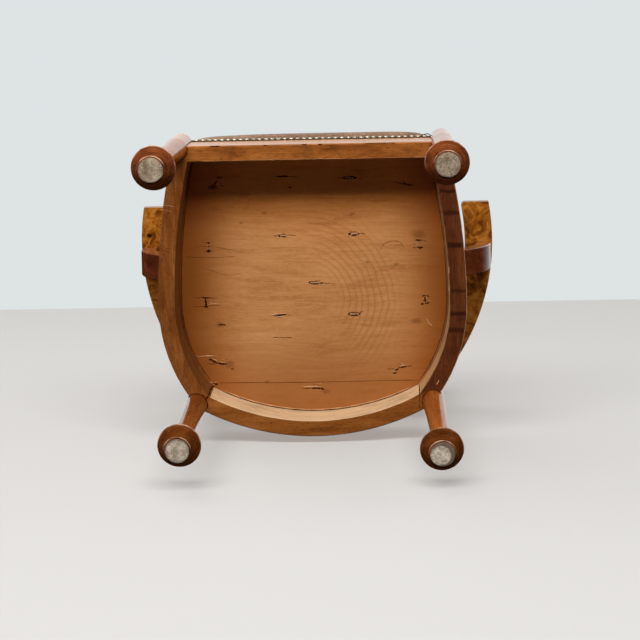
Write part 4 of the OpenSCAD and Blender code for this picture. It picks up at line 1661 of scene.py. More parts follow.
@dataclass
class SeatTrim:
    """The leather's turned edge with its lifted end, its welt, its buttons and the row of nails.

    Attributes:
        cushion: the leather form that they belong to.
        half_edge: half the length of the turned edge.
        section: Y and height above the rails of the turned edge's profile.
        lifted: X, Y and Z of the places that the edge's lifted end runs through.
        welt_inset: how far the middle of the welt stays inside the outline.
        welt_radius: radius of the welt.
        nail_pitch: distance of the nails' middles.
        nail_count: how many nails stand on each side of the middle one.
        nail_radius: radius of a nail's head.
        nail_drop: how far the nails' middles lie under the rails' upper faces.
    """

    cushion: SeatCushion
    half_edge: float = 213.5
    section: tuple[Pair, ...] = (
        (-1.6, 3.5), (-1.75, 0), (-1.7, -7), (-1.6, -12.2), (-1.0, -13), (-0.1, -12.9), (-0.1, 3.5),
    )
    lifted: tuple[Colour, ...] = (
        (198, -2.6, 432), (202, -4.2, 433), (207, -5.6, 433), (211.5, -4.8, 432), (214, -2.6, 428),
        (214.6, -1.4, 412), (214.4, -1.2, 396),
    )
    welt_inset: float = 5.2
    welt_radius: float = 2.5
    nail_pitch: float = 11.3
    nail_count: int = 18
    nail_radius: float = 4.55
    nail_drop: float = 7.0

    def build(self, leather: Material, dark: Material, brass: Material) -> None:
        """Builds every piece.

        Args:
            leather: finish of the welt and the buttons.
            dark: finish of the turned edge, darker than the seat: partly its own colour, partly painted shade
                between the nails.
            brass: finish of the nails.
        """
        finish_piece(self._edge().build("leather_edge", dark), "leather")
        finish_piece(self._corner().build("leather_corner", dark), "leather")
        finish_piece(self._welt().build("leather_welt", leather), "leather")
        finish_piece(self._buttons().build("leather_buttons", leather), "leather", "seat_buttons")
        finish_piece(self._nails().build("front_nail_heads", brass), "brass_nails", "front_nails")

    def _edge(self) -> Shell:
        """The leather that is turned down over the front rail: a thin closed strip.

        Its lower border waves as two sines and is pulled up and in at each nail by a cosine.

        Returns:
            The surfaces.
        """
        x = np.linspace(-self.half_edge, self.half_edge, 240)
        nails = np.cos(2 * np.pi * x / self.nail_pitch)
        wave = 0.25 * np.sin(x / 17) + 0.2 * np.sin(x / 7.3 + 1)
        section = np.array(self.section)
        y = section[:, :1] + np.zeros_like(x)
        waves = (wave + 0.35 * nails)[None] * (section[:, 1:] < -10)
        z = self.cushion.frame.rail_top + section[:, 1:] + waves
        y = y - 0.12 * nails[None] * (section[:, :1] < -1.3)
        shell = self.cushion.frame.shell()
        shell.add(np.stack([np.broadcast_to(x, y.shape), y, z], -1).transpose(1, 0, 2))
        return shell

    def _corner(self) -> Shell:
        """The lifted end of the edge at the left front leg: a thin cord that curls out and down.

        Returns:
            The surfaces.
        """
        path = smooth_path(np.array(self.lifted), 60)
        shell = self.cushion.frame.shell()
        shell.add(tube(path, 0.9 - 0.25 * np.linspace(0, 1, len(path)), 8))
        return shell

    def _welt(self) -> Shell:
        """A thin covered cord that closes the foot of the leather along the sides and the rear.

        Returns:
            The surfaces.
        """
        angle = np.linspace(math.radians(-42), math.radians(222), 420)
        r = self.cushion.outline(angle) - self.welt_inset
        z = np.full_like(r, self.cushion.frame.rail_top + self.welt_radius + 0.2)
        path = np.stack([r * np.cos(angle), self.cushion.middle_y + r * np.sin(angle), z], -1)
        shell = self.cushion.frame.shell()
        shell.add(tube(path, self.welt_radius, 10))
        return shell

    def _buttons(self) -> Shell:
        """Covered buttons: domes whose rims are slightly gathered, each leaning a little its own way.

        Returns:
            The surfaces.
        """
        seat = self.cushion
        r = seat.button / 2
        dome = (
            (r - 1.4, 0.0), (r - 0.2, 0.9), (r, 1.9), (r - 1.0, 3.3), (r * 0.66, 4.7), (r * 0.3, 5.6),
            (0.3, 5.9),
        )
        profile = smooth_path(np.array(dome), 16)
        turn = circle(28)
        sunk = seat.fall * 0.6**3 + seat.tuft_depth * (1 - 0.6**8)
        shell = seat.frame.shell()
        for index, (x, y) in enumerate(TUFTS):
            grid = turned(profile, len(turn))
            grid[:6, :, :2] *= (1 + 0.012 * np.cos(11 * turn + index))[None, :, None]
            lean = 0.02 * np.array([math.sin(index * 2.3), math.cos(index * 1.7)])
            grid[..., 2] += grid[..., 0] * lean[0] + grid[..., 1] * lean[1]
            shell.add(grid + np.array([x, y, seat.frame.rail_top + seat.crown - sunk + 0.5]))
        return shell

    def _nails(self) -> Shell:
        """Domed nails along the edge: low domes with thin rims, each a little off its place.

        Returns:
            The surfaces.
        """
        rng = np.random.default_rng(11)
        shares = ((1, 0.05), (1, 0.4), (0.93, 1.0), (0.78, 1.6), (0.55, 2.05), (0.28, 2.3))
        rows = [[self.nail_radius * share, height] for share, height in shares]
        profile = np.array([*rows, [0.25, 2.36]])
        shell = self.cushion.frame.shell()
        for index in range(-self.nail_count, self.nail_count + 1):
            grid = turned(profile, 18)
            off = rng.uniform(-0.35, 0.35, 2)
            lean = rng.uniform(-0.05, 0.05, 2)
            x, up, out = grid[..., 0], grid[..., 1], grid[..., 2]
            out = out * (1 - 0.04 * abs(lean[0])) + 0.02 * lean[1] * up
            z = up + self.cushion.frame.rail_top - self.nail_drop + off[1] * 0.7
            shell.add(np.stack([x + index * self.nail_pitch + off[0], -1.6 - out, z], -1))
        return shell


# Torn places, joints and cracks


class Mark(Enum):
    """What a small mark in the wood is."""

    HOLE = "hole"
    CRACK = "crack"
    LIP = "lip"
    TWINE = "twine"


class Level(Enum):
    """Which underside a line lies on."""

    BOARD = "board"
    RAIL = "rail"


HOLE, CRACK, LIP, TWINE = Mark
BOARD, RAIL = Level
Stroke = tuple[Mark, float, float, float, float, float]


@dataclass(frozen=True)
class TornWood:
    """The four materials of torn wood and twine.

    Attributes:
        hole: painted shade inside holes, gaps and chips.
        crack: dirt in a crack.
        splinter: fresh pale wood.
        twine: jute.
    """

    hole: Material
    crack: Material
    splinter: Material
    twine: Material


@dataclass(frozen=True)
class Tie:
    """One torn place where a button's twine comes through the board.

    Attributes:
        place: its X and Y.
        strokes: kind, X and Y of the start and of the end, and width of each mark, in steps from there.
    """

    place: Pair
    strokes: tuple[Stroke, ...]


TIES: tuple[Tie, ...] = (
    Tie((-171, 73), (
        (CRACK, 1, -5, 7, -5, 2), (CRACK, -8, 4, 2, 4, 3), (CRACK, 2, -2, -3, 3, 2),
        (CRACK, -9, 6.5, 5, 6, 0.8), (CRACK, 4, 3, 9, 3, 0.8),
    )),
    Tie((-52, 64), (
        (HOLE, -5.5, 0, 7.5, 0, 1.6), (CRACK, -10, 0.3, -5, 0, 0.8), (CRACK, 7, 0.3, 17, 1, 0.8),
        (HOLE, 6, 11, 9, 11, 1.5),
    )),
    Tie((62, 66), (
        (HOLE, -3, 1.4, 11, 1.6, 3.2), (TWINE, 0, 1.4, 7, 1.5, 1), (CRACK, -9, 1.4, -3, 1.4, 0.7),
        (CRACK, 11, 2, 17, 2.5, 0.7),
    )),
    Tie((170, 78), (
        (CRACK, -14, 0, 9, 4, 0.9), (HOLE, -4, 1.6, 5, 3.4, 1.5), (HOLE, -3.5, -1, -2, 0.5, 1),
    )),
    Tie((-190, 190), (
        (HOLE, 0.5, -4.7, 2.5, -4.7, 2.2), (HOLE, -0.5, 3.5, 3.5, 3.5, 3.2), (CRACK, 1.4, -3, 1.4, 3, 1),
        (CRACK, -3, 3.5, 7, 3.7, 0.8), (CRACK, -5, -5.5, 6, -5.2, 0.6),
    )),
    Tie((-60, 170), (
        (HOLE, -1, 0.4, 1.2, 0.4, 2.6), (CRACK, 1.5, -1, 7.5, -1, 0.9), (CRACK, 1.5, 1.6, 7, 1.6, 0.9),
        (TWINE, 2.2, 0.3, 6.5, 0.3, 1.5), (CRACK, 7, -0.2, 17, 0.2, 0.9), (CRACK, -6, 0.6, -1, 0.3, 0.8),
        (LIP, -4, -1.2, 3, -2, 0.7),
    )),
    Tie((70, 169), (
        (HOLE, -3.5, 0.4, -1, 0.4, 2.4), (CRACK, -2, -1.6, 6, -1.3, 1), (CRACK, -1, 2, 6, 1.8, 1),
        (TWINE, 0.3, 0.2, 5.5, 0.2, 2), (HOLE, 6, 0, 8, 0.3, 1.6), (CRACK, 8, 0, 14, 0.2, 0.9),
        (LIP, -6, 1.6, 0, 3, 0.7),
    )),
    Tie((191, 191), (
        (HOLE, -4.3, -4.5, 3.2, -4.3, 1.6), (HOLE, -2.6, 2.7, 4, 3, 1.8),
        (TWINE, 0.4, -3.5, 0.4, 2, 1.7), (HOLE, 0.4, 3, 1.2, 5, 1.4), (CRACK, 3, -4, 8, -2.5, 0.8),
        (CRACK, -7, 3.5, -3, 2.8, 0.8), (LIP, -3, 0.5, -0.8, 0.5, 1),
    )),
    Tie((2, 257), (
        (CRACK, -5.5, -1, 6, -1.6, 1.1), (CRACK, -5.5, 0.8, 6, 1.8, 1.1),
        (HOLE, -5.8, -0.6, -4, 0.3, 1.6), (TWINE, -3.5, 0.1, 4.5, 0.1, 1.5), (HOLE, 5, 0.3, 9, 0.6, 1.2),
        (CRACK, 9, 0.5, 16, 1, 0.8), (LIP, -11, -0.8, -6, -0.8, 0.8), (LIP, -10, 1, -6, 1, 0.8),
    )),
    Tie((-196, 290), (
        (HOLE, -4, -5, 4, -4.6, 1.8), (CRACK, -13, -5.2, 13, -4.2, 0.8), (HOLE, 0, -4, 0.2, 4, 2.4),
        (HOLE, -2, 4.2, 2.5, 4.5, 2), (CRACK, -14, 4, 16, 3.2, 0.8), (LIP, 2, 1.5, 14, 1, 0.7),
    )),
    Tie((-67, 316), (
        (HOLE, -3.5, 0.2, 9, -0.8, 2.1), (LIP, -10, -0.2, 2, -1.9, 1.4), (LIP, -3, 1.8, 8, 1.2, 1.4),
        (LIP, 2, -2, 9, -1.8, 0.8), (CRACK, 9, -0.8, 15, 0, 0.7),
    )),
    Tie((71, 315), (
        (CRACK, -5, -1, 6, -1.3, 1.2), (CRACK, -4.5, 1.6, 5, 2, 1.3), (HOLE, -5.4, 0.4, -3.8, 0.4, 2),
        (HOLE, 5, 0.4, 6.8, 0, 2), (TWINE, -3, 0.4, 4.3, 0.3, 1.5), (CRACK, 6, -1.2, 9.5, -2, 0.9),
    )),
    Tie((199, 292), (
        (HOLE, -2.5, -4.2, 1, -4.5, 1.4), (HOLE, 1.5, -4.5, 5, -3.8, 1.2), (HOLE, 0.7, -3, 0.7, 2, 1.8),
        (HOLE, -3.5, 4.5, -0.5, 3.5, 2), (HOLE, 0, 3.2, 5, 3, 1.6), (LIP, -1.5, -2.5, -1.5, -1, 1.3),
        (LIP, 2.5, -2.5, 2.5, -1.5, 1.2),
    )),
    Tie((-172, 398), (
        (LIP, -25, -5.2, -2.5, -5, 1.2), (HOLE, -12, -2, -9, -1, 2.4), (HOLE, -10, -1, -3, 2.6, 2),
        (HOLE, -3, 2.6, 6, 3.6, 2.2), (LIP, -8, -2.4, -3, 0, 1), (CRACK, -14, 2.5, -5, 3.4, 0.9),
        (LIP, -1, 1, 5, 1.4, 0.8), (CRACK, 10, 8, 13, 9, 1.6),
    )),
    Tie((158, 412), (
        (HOLE, -4, 2, 4.5, 0.8, 1.3), (LIP, -4, 0.4, 4, -0.6, 1.2), (HOLE, -8, 5.4, -4, 2.8, 1.5),
        (TWINE, -9, 5.8, -7, 6, 1.8), (HOLE, -10, 7.6, -6, 7.4, 1.2), (CRACK, -16, 3, -8, 3.4, 0.9),
        (CRACK, 4, 1, 10, 0.2, 0.8),
    )),
    Tie((-3, 446), (
        (LIP, -11, 1.2, 7, 1.4, 1.5), (HOLE, -3, 3, 8, 3, 1.7), (HOLE, 7, 3.6, 9.5, 4.4, 2.2),
        (CRACK, -12, 3.2, -3, 3, 0.8),
    )),
    Tie((-186, 442), (
        (HOLE, 0, -1, 4, 0, 1.8), (HOLE, -1, 1.5, 1, 2, 1), (LIP, -8, -2, -1, -2.4, 1.2),
        (LIP, 1, -2.4, 3, -3, 1),
    )),
)


@dataclass
class ButtonTies:
    """Torn holes, drawn as dark slivers of painted shade, raised lips, cracks and twine under the seat board,
    one by one.

    Attributes:
        frame: the rails round the board.
        step: length of the step in which the strokes are given.
        splinters: how many stray splinters or cracks each place has.
    """

    frame: SeatFrame
    step: float = 1.8
    splinters: int = 4

    def build(self, wood: TornWood) -> None:
        """Builds the marks of every tie, one piece per kind.

        Args:
            wood: the materials.
        """
        rng = np.random.default_rng(5)
        shells = {kind: self.frame.shell() for kind in Mark}
        for tie in TIES:
            for stroke in tie.strokes:
                if stroke[0] is TWINE:
                    for strand in self._strands(tie, stroke):
                        shells[TWINE].add(strand)
                else:
                    shells[stroke[0]].add(self._sliver(rng, tie, stroke))
            for _ in range(self.splinters):
                x, y = rng.uniform(-7, 7), rng.uniform(-2.5, 2.5)
                reach = rng.uniform(1.5, 4)
                kind = LIP if rng.uniform() < 0.5 else CRACK
                splinter = (kind, x, y, x + reach, y + rng.uniform(-0.4, 0.4), 0.4)
                shells[kind].add(self._sliver(rng, tie, splinter))
        finish_piece(shells[HOLE].build("tie_hole_shade", wood.hole), "plywood")
        finish_piece(shells[CRACK].build("tie_cracks", wood.crack), "plywood")
        finish_piece(shells[LIP].build("tie_splinters", wood.splinter), "plywood")
        finish_piece(shells[TWINE].build("tie_twine", wood.twine), "twine", "button_ties")

    def _sliver(self, rng: np.random.Generator, tie: Tie, stroke: Stroke) -> Array:
        """One mark: a flat strip with tapered ends and wavering sides, raised by its kind's height.

        Args:
            rng: source of the random draws.
            tie: the torn place.
            stroke: the mark.

        Returns:
            The strip as rows, columns and 3.
        """
        kind, x0, y0, x1, y1, wide = stroke
        t = np.linspace(0, 1, 15)
        taper = np.sin(np.pi * (0.04 + 0.92 * t)) ** (0.5 if kind is HOLE else 0.8)
        ragged = 1 + 0.28 * rng.uniform(-1, 1, 15)
        phase = rng.uniform(0, 6.28)
        x = (x0 + (x1 - x0) * t) * self.step + tie.place[0] + 0.3 * np.sin(6 * t + phase)
        y = (y0 + (y1 - y0) * t) * self.step + tie.place[1] + 0.35 * np.sin(7 * t + 2 * phase)
        proud, thick = {HOLE: (0.05, 0.3), CRACK: (0.0, 0.25), LIP: (0.15, 1.5)}[kind]
        path = np.stack([x, y, self.frame.board_low - proud * taper], -1)
        return sliver(path, wide * self.step * taper * ragged, thick * taper)

    def _strands(self, tie: Tie, stroke: Stroke) -> list[Array]:
        """Two strands of twine that wind round each other as a sine and bow down as a half sine.

        Args:
            tie: the torn place.
            stroke: the twine's start, end and width.

        Returns:
            Each strand as rows, columns and 3.
        """
        _, x0, y0, x1, y1, wide = stroke
        t = np.linspace(0, 1, 26)
        along = np.array([x1 - x0, y1 - y0]) * self.step
        across = np.array([-along[1], along[0]]) / (np.hypot(*along) + 1e-9)
        reach = 0.24 * wide * self.step
        turns = 2 * np.pi * max(2.0, np.hypot(*along) / (5.5 * reach + 0.5)) * t
        made = []
        for phase in (0.0, np.pi):
            swing = reach * np.sin(turns + phase)
            x = tie.place[0] + x0 * self.step + along[0] * t + across[0] * swing
            y = tie.place[1] + y0 * self.step + along[1] * t + across[1] * swing
            bow = 1.1 * np.sin(np.pi * t) ** 0.5
            z = self.frame.board_low - 0.2 - bow - 0.5 * reach * np.cos(turns + phase)
            made.append(tube(np.stack([x, y, z], -1), reach * 1.05, 6))
        return made


@dataclass(frozen=True)
class Line:
    """A long thin line in or on the wood.

    Attributes:
        kind: a dark gap, a fine crack or a pale edge.
        level: the underside that it lies on.
        width: its width.
        points: X and Y of the places it runs through.
    """

    kind: Mark
    level: Level
    width: float
    points: tuple[Pair, ...]


LINES: tuple[Line, ...] = (
    Line(CRACK, BOARD, 1.0, ((-193, 438.7), (-60, 439.8), (7, 440), (90, 439.4), (189, 439))),
    Line(CRACK, BOARD, 0.8, ((120, 200), (128, 189), (142, 184), (156, 186), (164, 197))),
    Line(LIP, BOARD, 1.4, ((203, 326), (206, 333), (212, 339))),
    Line(CRACK, BOARD, 1.2, ((-76, 356), (-60, 357), (-40, 357))),
    Line(LIP, BOARD, 0.9, ((-76, 358), (-60, 359), (-44, 359))),
    Line(CRACK, BOARD, 0.7, ((-232, 206), (-190, 208), (-140, 207))),
    Line(CRACK, BOARD, 0.6, ((-215, 188), (-176, 189), (-122, 201))),
    Line(CRACK, BOARD, 0.6, ((-195, 227), (-160, 240), (-130, 238))),
    Line(HOLE, BOARD, 2.2, ((-174, 332), (-168, 331), (-161, 332))),
    Line(CRACK, RAIL, 0.9, ((36, 3), (46, 13), (57, 26))),
    Line(CRACK, RAIL, 0.7, ((38, 2), (50, 14), (62, 24))),
    Line(HOLE, RAIL, 2.2, ((-172, 0.8), (-164, 0.9), (-155, 0.7))),
    Line(HOLE, RAIL, 2.0, ((-79, 0.8), (-76, 1.1), (-73, 0.8))),
    Line(HOLE, RAIL, 2.0, ((-12, 0.8), (-8, 1.1), (-4, 0.8))),
    Line(HOLE, RAIL, 2.0, ((16, 0.8), (19, 1.1), (23, 0.8))),
    Line(CRACK, RAIL, 1.1, ((96, 0.8), (120, 1.0), (150, 0.8))),
    Line(HOLE, RAIL, 2.4, ((-196, 462), (-193, 452), (-189, 444), (-185, 434), (-180, 427))),
    Line(CRACK, RAIL, 1.4, ((186.5, 431), (186.4, 451), (185.5, 473))),
    Line(CRACK, RAIL, 1.2, ((-271, 174), (-262, 181), (-250, 186))),
    Line(CRACK, RAIL, 0.8, ((-268, 168), (-258, 178), (-246, 180))),
    Line(LIP, RAIL, 0.5, ((-262, 101), (-250, 103), (-238, 105.5))),
    Line(LIP, RAIL, 0.4, ((-264, 109), (-254, 111), (-244, 114.5))),
    Line(LIP, RAIL, 1.6, ((241, 221), (241.2, 226), (241, 231))),
    Line(LIP, RAIL, 1.6, ((240.6, 252), (240.7, 258), (240.2, 263))),
    Line(LIP, RAIL, 1.4, ((221, 423), (219.5, 427), (217, 431))),
    Line(CRACK, RAIL, 1.0, ((-228, 27.6), (0, 27.6), (228, 27.6))),
    Line(LIP, RAIL, 0.35, ((-190, 26.4), (0, 26.4), (222, 26.4))),
)


@dataclass
class JointLines:
    """Gaps, cracks, chips and worn edges round the board, at the joints of the rails and at the legs' tops;
    the dark strips in the joints are partly dirt and partly painted shade, and the pale strip on the left
    rail's outer arris is a painted highlight.

    Attributes:
        frame: the rails.
        leg_radius: radius of the rings round the legs' tops.
    """

    frame: SeatFrame
    leg_radius: float = 20.0

    def build(self, wood: TornWood) -> None:
        """Builds the lines, one piece per kind.

        Args:
            wood: the materials.
        """
        rng = np.random.default_rng(17)
        shells = {kind: self.frame.shell() for kind in (HOLE, CRACK, LIP)}
        heights = {BOARD: self.frame.board_low, RAIL: self.frame.rail_low}
        # Dark HOLE and CRACK strips along the joints and round the legs' tops are partly dirt, partly painted
        # shade of the gaps. The LIP strip on the left rail's outer lower arris is a painted highlight.
        strips = (
            (HOLE, BOARD, self._rear(0.7), 1.7, 0.4),
            (LIP, BOARD, self._rear(2.6), 1.5, 0.5),
            (HOLE, BOARD, self._side(3.4, 1), 1.3, 0.4),
            (CRACK, BOARD, self._side(3.4, -1), 1.5, 0.4),
            (CRACK, RAIL, self._side(-0.4, -1), 1.0, 0.3),
            (CRACK, RAIL, self._side(-0.4, 1), 1.0, 0.3),
            (LIP, RAIL, self._side(-29.3, 1)[4:], 0.55, 0.3),
            *((HOLE, RAIL, ring, 1.4, 0.5) for ring in self._leg_rings()),
            *(self._single(line) for line in LINES),
        )
        for kind, level, path, width, thick in strips:
            shells[kind].add(self._strip(rng, path, heights[level], width, thick))
        finish_piece(shells[HOLE].build("joint_gap_dirt_and_shade", wood.hole), "dark_wood")
        finish_piece(shells[CRACK].build("wood_cracks", wood.crack), "dark_wood")
        finish_piece(shells[LIP].build("worn_edges_and_highlight", wood.splinter), "plywood")

    def _single(self, line: Line) -> tuple[Mark, Level, Array, float, float]:
        """A single line's kind, level, path, width and thickness."""
        path = smooth_path(np.array(line.points), 8 * len(line.points))
        return line.kind, line.level, path, line.width, 0.9 if line.kind is LIP else 0.35

    def _leg_rings(self) -> list[Array]:
        """Part rings round the legs' tops, only where these meet the rails.

        Returns:
            The X and Y of each ring's points.
        """
        rings = []
        for (x, y), right, left in (
            (self.frame.front_legs, (-8, 100), (80, 188)), (self.frame.rear_legs, (222, 385), (155, 318)),
        ):
            for sign, (first, last) in ((-1, right), (1, left)):
                turn = np.radians(np.linspace(first, last, 48))
                middle = np.array([sign * x, y])
                rings.append(middle + self.leg_radius * np.stack([np.cos(turn), np.sin(turn)], -1))
        return rings

    def _side(self, inset: float, sign: int) -> Array:
        """The inner line of a side rail moved inwards: its long arc and then its short arc.

        Args:
            inset: how far it is moved.
            sign: 1 for the left rail and minus 1 for the right one.

        Returns:
            The X and Y of its points.
        """
        f = self.frame
        long, short = (radius - f.side_thick - inset for radius in (f.side_radius, f.corner_radius))
        y = np.linspace(30, f.bend_y - 1, 60)
        far = f.half_width - f.side_radius + np.sqrt(long**2 - (y - f.bend_y) ** 2)
        turn = np.linspace(0, 0.66, 40)
        near_x = f.half_width - f.corner_radius + short * np.cos(turn)
        near_y = f.bend_y + short * np.sin(turn)
        path = np.stack([np.concatenate([far, near_x]), np.concatenate([y, near_y])], -1)
        return path * np.array([sign, 1])

    def _rear(self, inset: float) -> Array:
        """The inner line of the rear rail moved inwards, an arc of a circle.

        Args:
            inset: how far it is moved.

        Returns:
            The X and Y of its points.
        """
        f = self.frame
        x = np.linspace(-172, 172, 90)
        y = f.depth - f.rear_radius + np.sqrt((f.rear_radius - f.rear_thick - inset) ** 2 - x**2)
        return np.stack([x, y], -1)

    def _strip(
        self, rng: np.random.Generator, path: Array, z: float, width: float, thick: float
    ) -> Array:
        """A flat strip along a level path with tapered ends and a wavering width.

        Args:
            rng: source of the random draws.
            path: X and Y of the middle line.
            z: its height.
            width: its width.
            thick: its thickness.

        Returns:
            The strip as rows, columns and 3.
        """
        count = len(path)
        t = np.linspace(0, 1, count)
        taper = np.minimum(1, np.sin(np.pi * (0.01 + 0.98 * t)) * 6)
        ragged = 1 + 0.25 * np.sin(31 * t * count / 40 + rng.uniform(0, 6)) + 0.15 * rng.uniform(-1, 1, count)
        return sliver(np.column_stack([path, np.full(count, z)]), width * taper * ragged, thick * taper)


# Wood and feet


HONEY = Tones(srgb(112, 58, 20), srgb(150, 86, 34), srgb(176, 110, 52))
AMBER = Tones(srgb(104, 52, 16), srgb(134, 76, 32), srgb(158, 98, 46))
DARK_RED = Tones(srgb(58, 22, 8), srgb(86, 38, 18), srgb(112, 56, 28))
BANDED = Tones(srgb(66, 28, 12), srgb(94, 48, 24), srgb(118, 64, 32))
LEG = Tones(srgb(104, 50, 12), srgb(140, 72, 20), srgb(170, 98, 36))
DEEP_LEG = Tones(srgb(84, 36, 6), srgb(114, 54, 10), srgb(146, 78, 24))
FRONT_FOOT = Tones(srgb(62, 28, 11), srgb(102, 50, 24), srgb(132, 74, 40))
REAR_FOOT = Tones(srgb(58, 26, 7), srgb(92, 46, 16), srgb(120, 66, 28))
BURL = Tones(srgb(102, 52, 10), srgb(158, 92, 24), srgb(196, 128, 50))
STRIP = Tones(srgb(84, 42, 16), srgb(118, 66, 28), srgb(142, 84, 38))
PALE_STRIP = Tones(srgb(106, 66, 38), srgb(142, 96, 62), srgb(166, 118, 82))
BARE = Tones(srgb(150, 100, 56), srgb(182, 132, 82), srgb(204, 160, 110))


@dataclass
class ChairWood:
    """Finishes of the rails, legs, arms and the back, which keep their CAD meshes.

    Attributes:
        face_y: Y of the front rail's face in metres.
        bands: Y of the dark bars across the left side rail.
        arm_knot: X, Y and radius of the dark knot in the right arm.
        board_knots: X, Y and radius of the knots in the seat board.
    """

    loaded: dict
    face_y: float
    bands: tuple[float, ...] = (87, 125, 182, 263, 304, 333)
    arm_knot: tuple[float, float, float] = (-317, 193, 5)
    board_knots: tuple[tuple[float, float, float], ...] = (
        (-86, 129, 4.5), (-128, 146, 3.5), (71, 134, 4.5), (149, 226, 4.5), (97, 221, 4), (-89, 438, 4),
        (-156, 405, 9), (-172, 331, 7), (18, 458, 6), (190, 172, 12), (184, 330, 8),
    )

    def build(self) -> None:
        """Dresses every wooden node."""
        self._rails()
        self._legs()
        self._feet()
        self._back_and_arms()
        self._board()
        self._pins()

    def _dress(self, finish: Finish, name: str, *nodes: str) -> None:
        """Gives CAD nodes a material.

        Args:
            finish: the finish.
            name: name of the material.
            nodes: names of the nodes.
        """
        material = finish.make(name)
        for node in nodes:
            slots = self.loaded["nodes"][node].data.materials
            slots.clear()
            slots.append(material)
            LOG.info("%s: %s", node, name)

    def _rails(self) -> None:
        """The honey front and rear rails, the banded left rail and the amber right rail."""
        # The front rail's front face takes a lighter colour: painted light of the key lamp.
        front = PolishedWood(
            HONEY, Grain.ALONG_X, coat=1.0, gloss=0.3, stain=0.6, mottle=0.45, front=srgb(172, 116, 68)
        )
        self._dress(front, "wood_front_rail", "front_rail")
        rear = PolishedWood(
            HONEY, Grain.ALONG_X, stain=0.3, inner=srgb(214, 178, 138), face_y=self.face_y
        )
        self._dress(rear, "wood_rear_rail", "rear_rail")
        left = PolishedWood(
            BANDED, Grain.ALONG_Y, bands=self.bands, inner=srgb(190, 150, 105), face_y=self.face_y
        )
        self._dress(left, "wood_banded_rail", "side_rail_left")
        right = PolishedWood(
            AMBER, Grain.ALONG_Y, stain=0.75, mottle=0.5, inner=srgb(120, 72, 32), face_y=self.face_y
        )
        self._dress(right, "wood_right_rail", "side_rail_right")

    def _legs(self) -> None:
        """The legs, of which the right rear one is deeper in colour, and the posts above them."""
        legs = PolishedWood(LEG, Grain.ALONG_Z, coat=0.75, gloss=0.12, stain=0.3)
        self._dress(legs, "wood_legs", "leg_front_left", "leg_front_right", "leg_rear_left")
        deep = PolishedWood(DEEP_LEG, Grain.ALONG_Z, coat=0.9, gloss=0.12, stain=0.3)
        self._dress(deep, "wood_deep_leg", "leg_rear_right")
        posts = PolishedWood(LEG, Grain.ALONG_Z, coat=0.7)
        self._dress(posts, "wood_posts", "back_post_left", "back_post_right")

    def _feet(self) -> None:
        """The feet, each with painted rim highlights and painted rear shade round its own axis. The rear ones
        are darker.
        """
        for end, tones in (("front", FRONT_FOOT), ("rear", REAR_FOOT)):
            for side in ("left", "right"):
                node = f"foot_{end}_{side}"
                low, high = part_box(node)
                rims = RimHighlights(((low.x + high.x) / 2, (low.y + high.y) / 2))
                foot = PolishedWood(
                    tones, Grain.ALONG_X, coat=0.6, gloss=0.2, mottle=0.45, waxed=(-0.15, 0.1),
                    specular=0.0, rims=rims,
                )
                self._dress(foot, f"wood_{node}", node)

    def _back_and_arms(self) -> None:
        """The dark arm supports, cap and bead, and the burl of the arms and the back panel."""
        for side, waxed in (("left", (-0.3, -0.06)), ("right", (-0.08, -0.02))):
            # The supports' front faces take a lighter colour: painted light of the key lamp.
            support = PolishedWood(
                DARK_RED, Grain.ALONG_Z, coat=0.9, stain=0.3, waxed=waxed, specular=0.0,
                front=srgb(150, 88, 54),
            )
            self._dress(support, f"wood_support_{side}", f"arm_support_{side}")
        bars = PolishedWood(DARK_RED, Grain.ALONG_X, coat=0.45, gloss=0.26)
        self._dress(bars, "wood_back_bars", "crest_cap", "back_bead")
        arms = BurlWood(BURL, size=10, knots=(self.arm_knot,), face_y=self.face_y, edge=0.5)
        self._dress(arms, "burl_arms", "arm_left", "arm_right")
        self._dress(BurlWood(BURL, size=8, coat=0.55), "burl_back", "back_panel")

    def _board(self) -> None:
        """The seat board and the strips under it."""
        self._dress(SeatBoardWood(self.face_y, self.board_knots), "wood_seat_board", "seat_panel")
        self._dress(PolishedWood(STRIP, Grain.ALONG_Y, coat=0.1), "wood_strips", "ledger_right")
        self._dress(PolishedWood(PALE_STRIP, Grain.ALONG_Y, coat=0.1), "wood_pale_strip", "ledger_left")

    def _pins(self) -> None:
        """The hidden dowels, of bare wood."""
        joints = ("foot", "rail", "post", "support", "arm", "back", "cap")
        pins = PolishedWood(BARE, Grain.ALONG_X, coat=0.0)
        self._dress(pins, "wood_dowels", *(f"{joint}_dowels" for joint in joints))


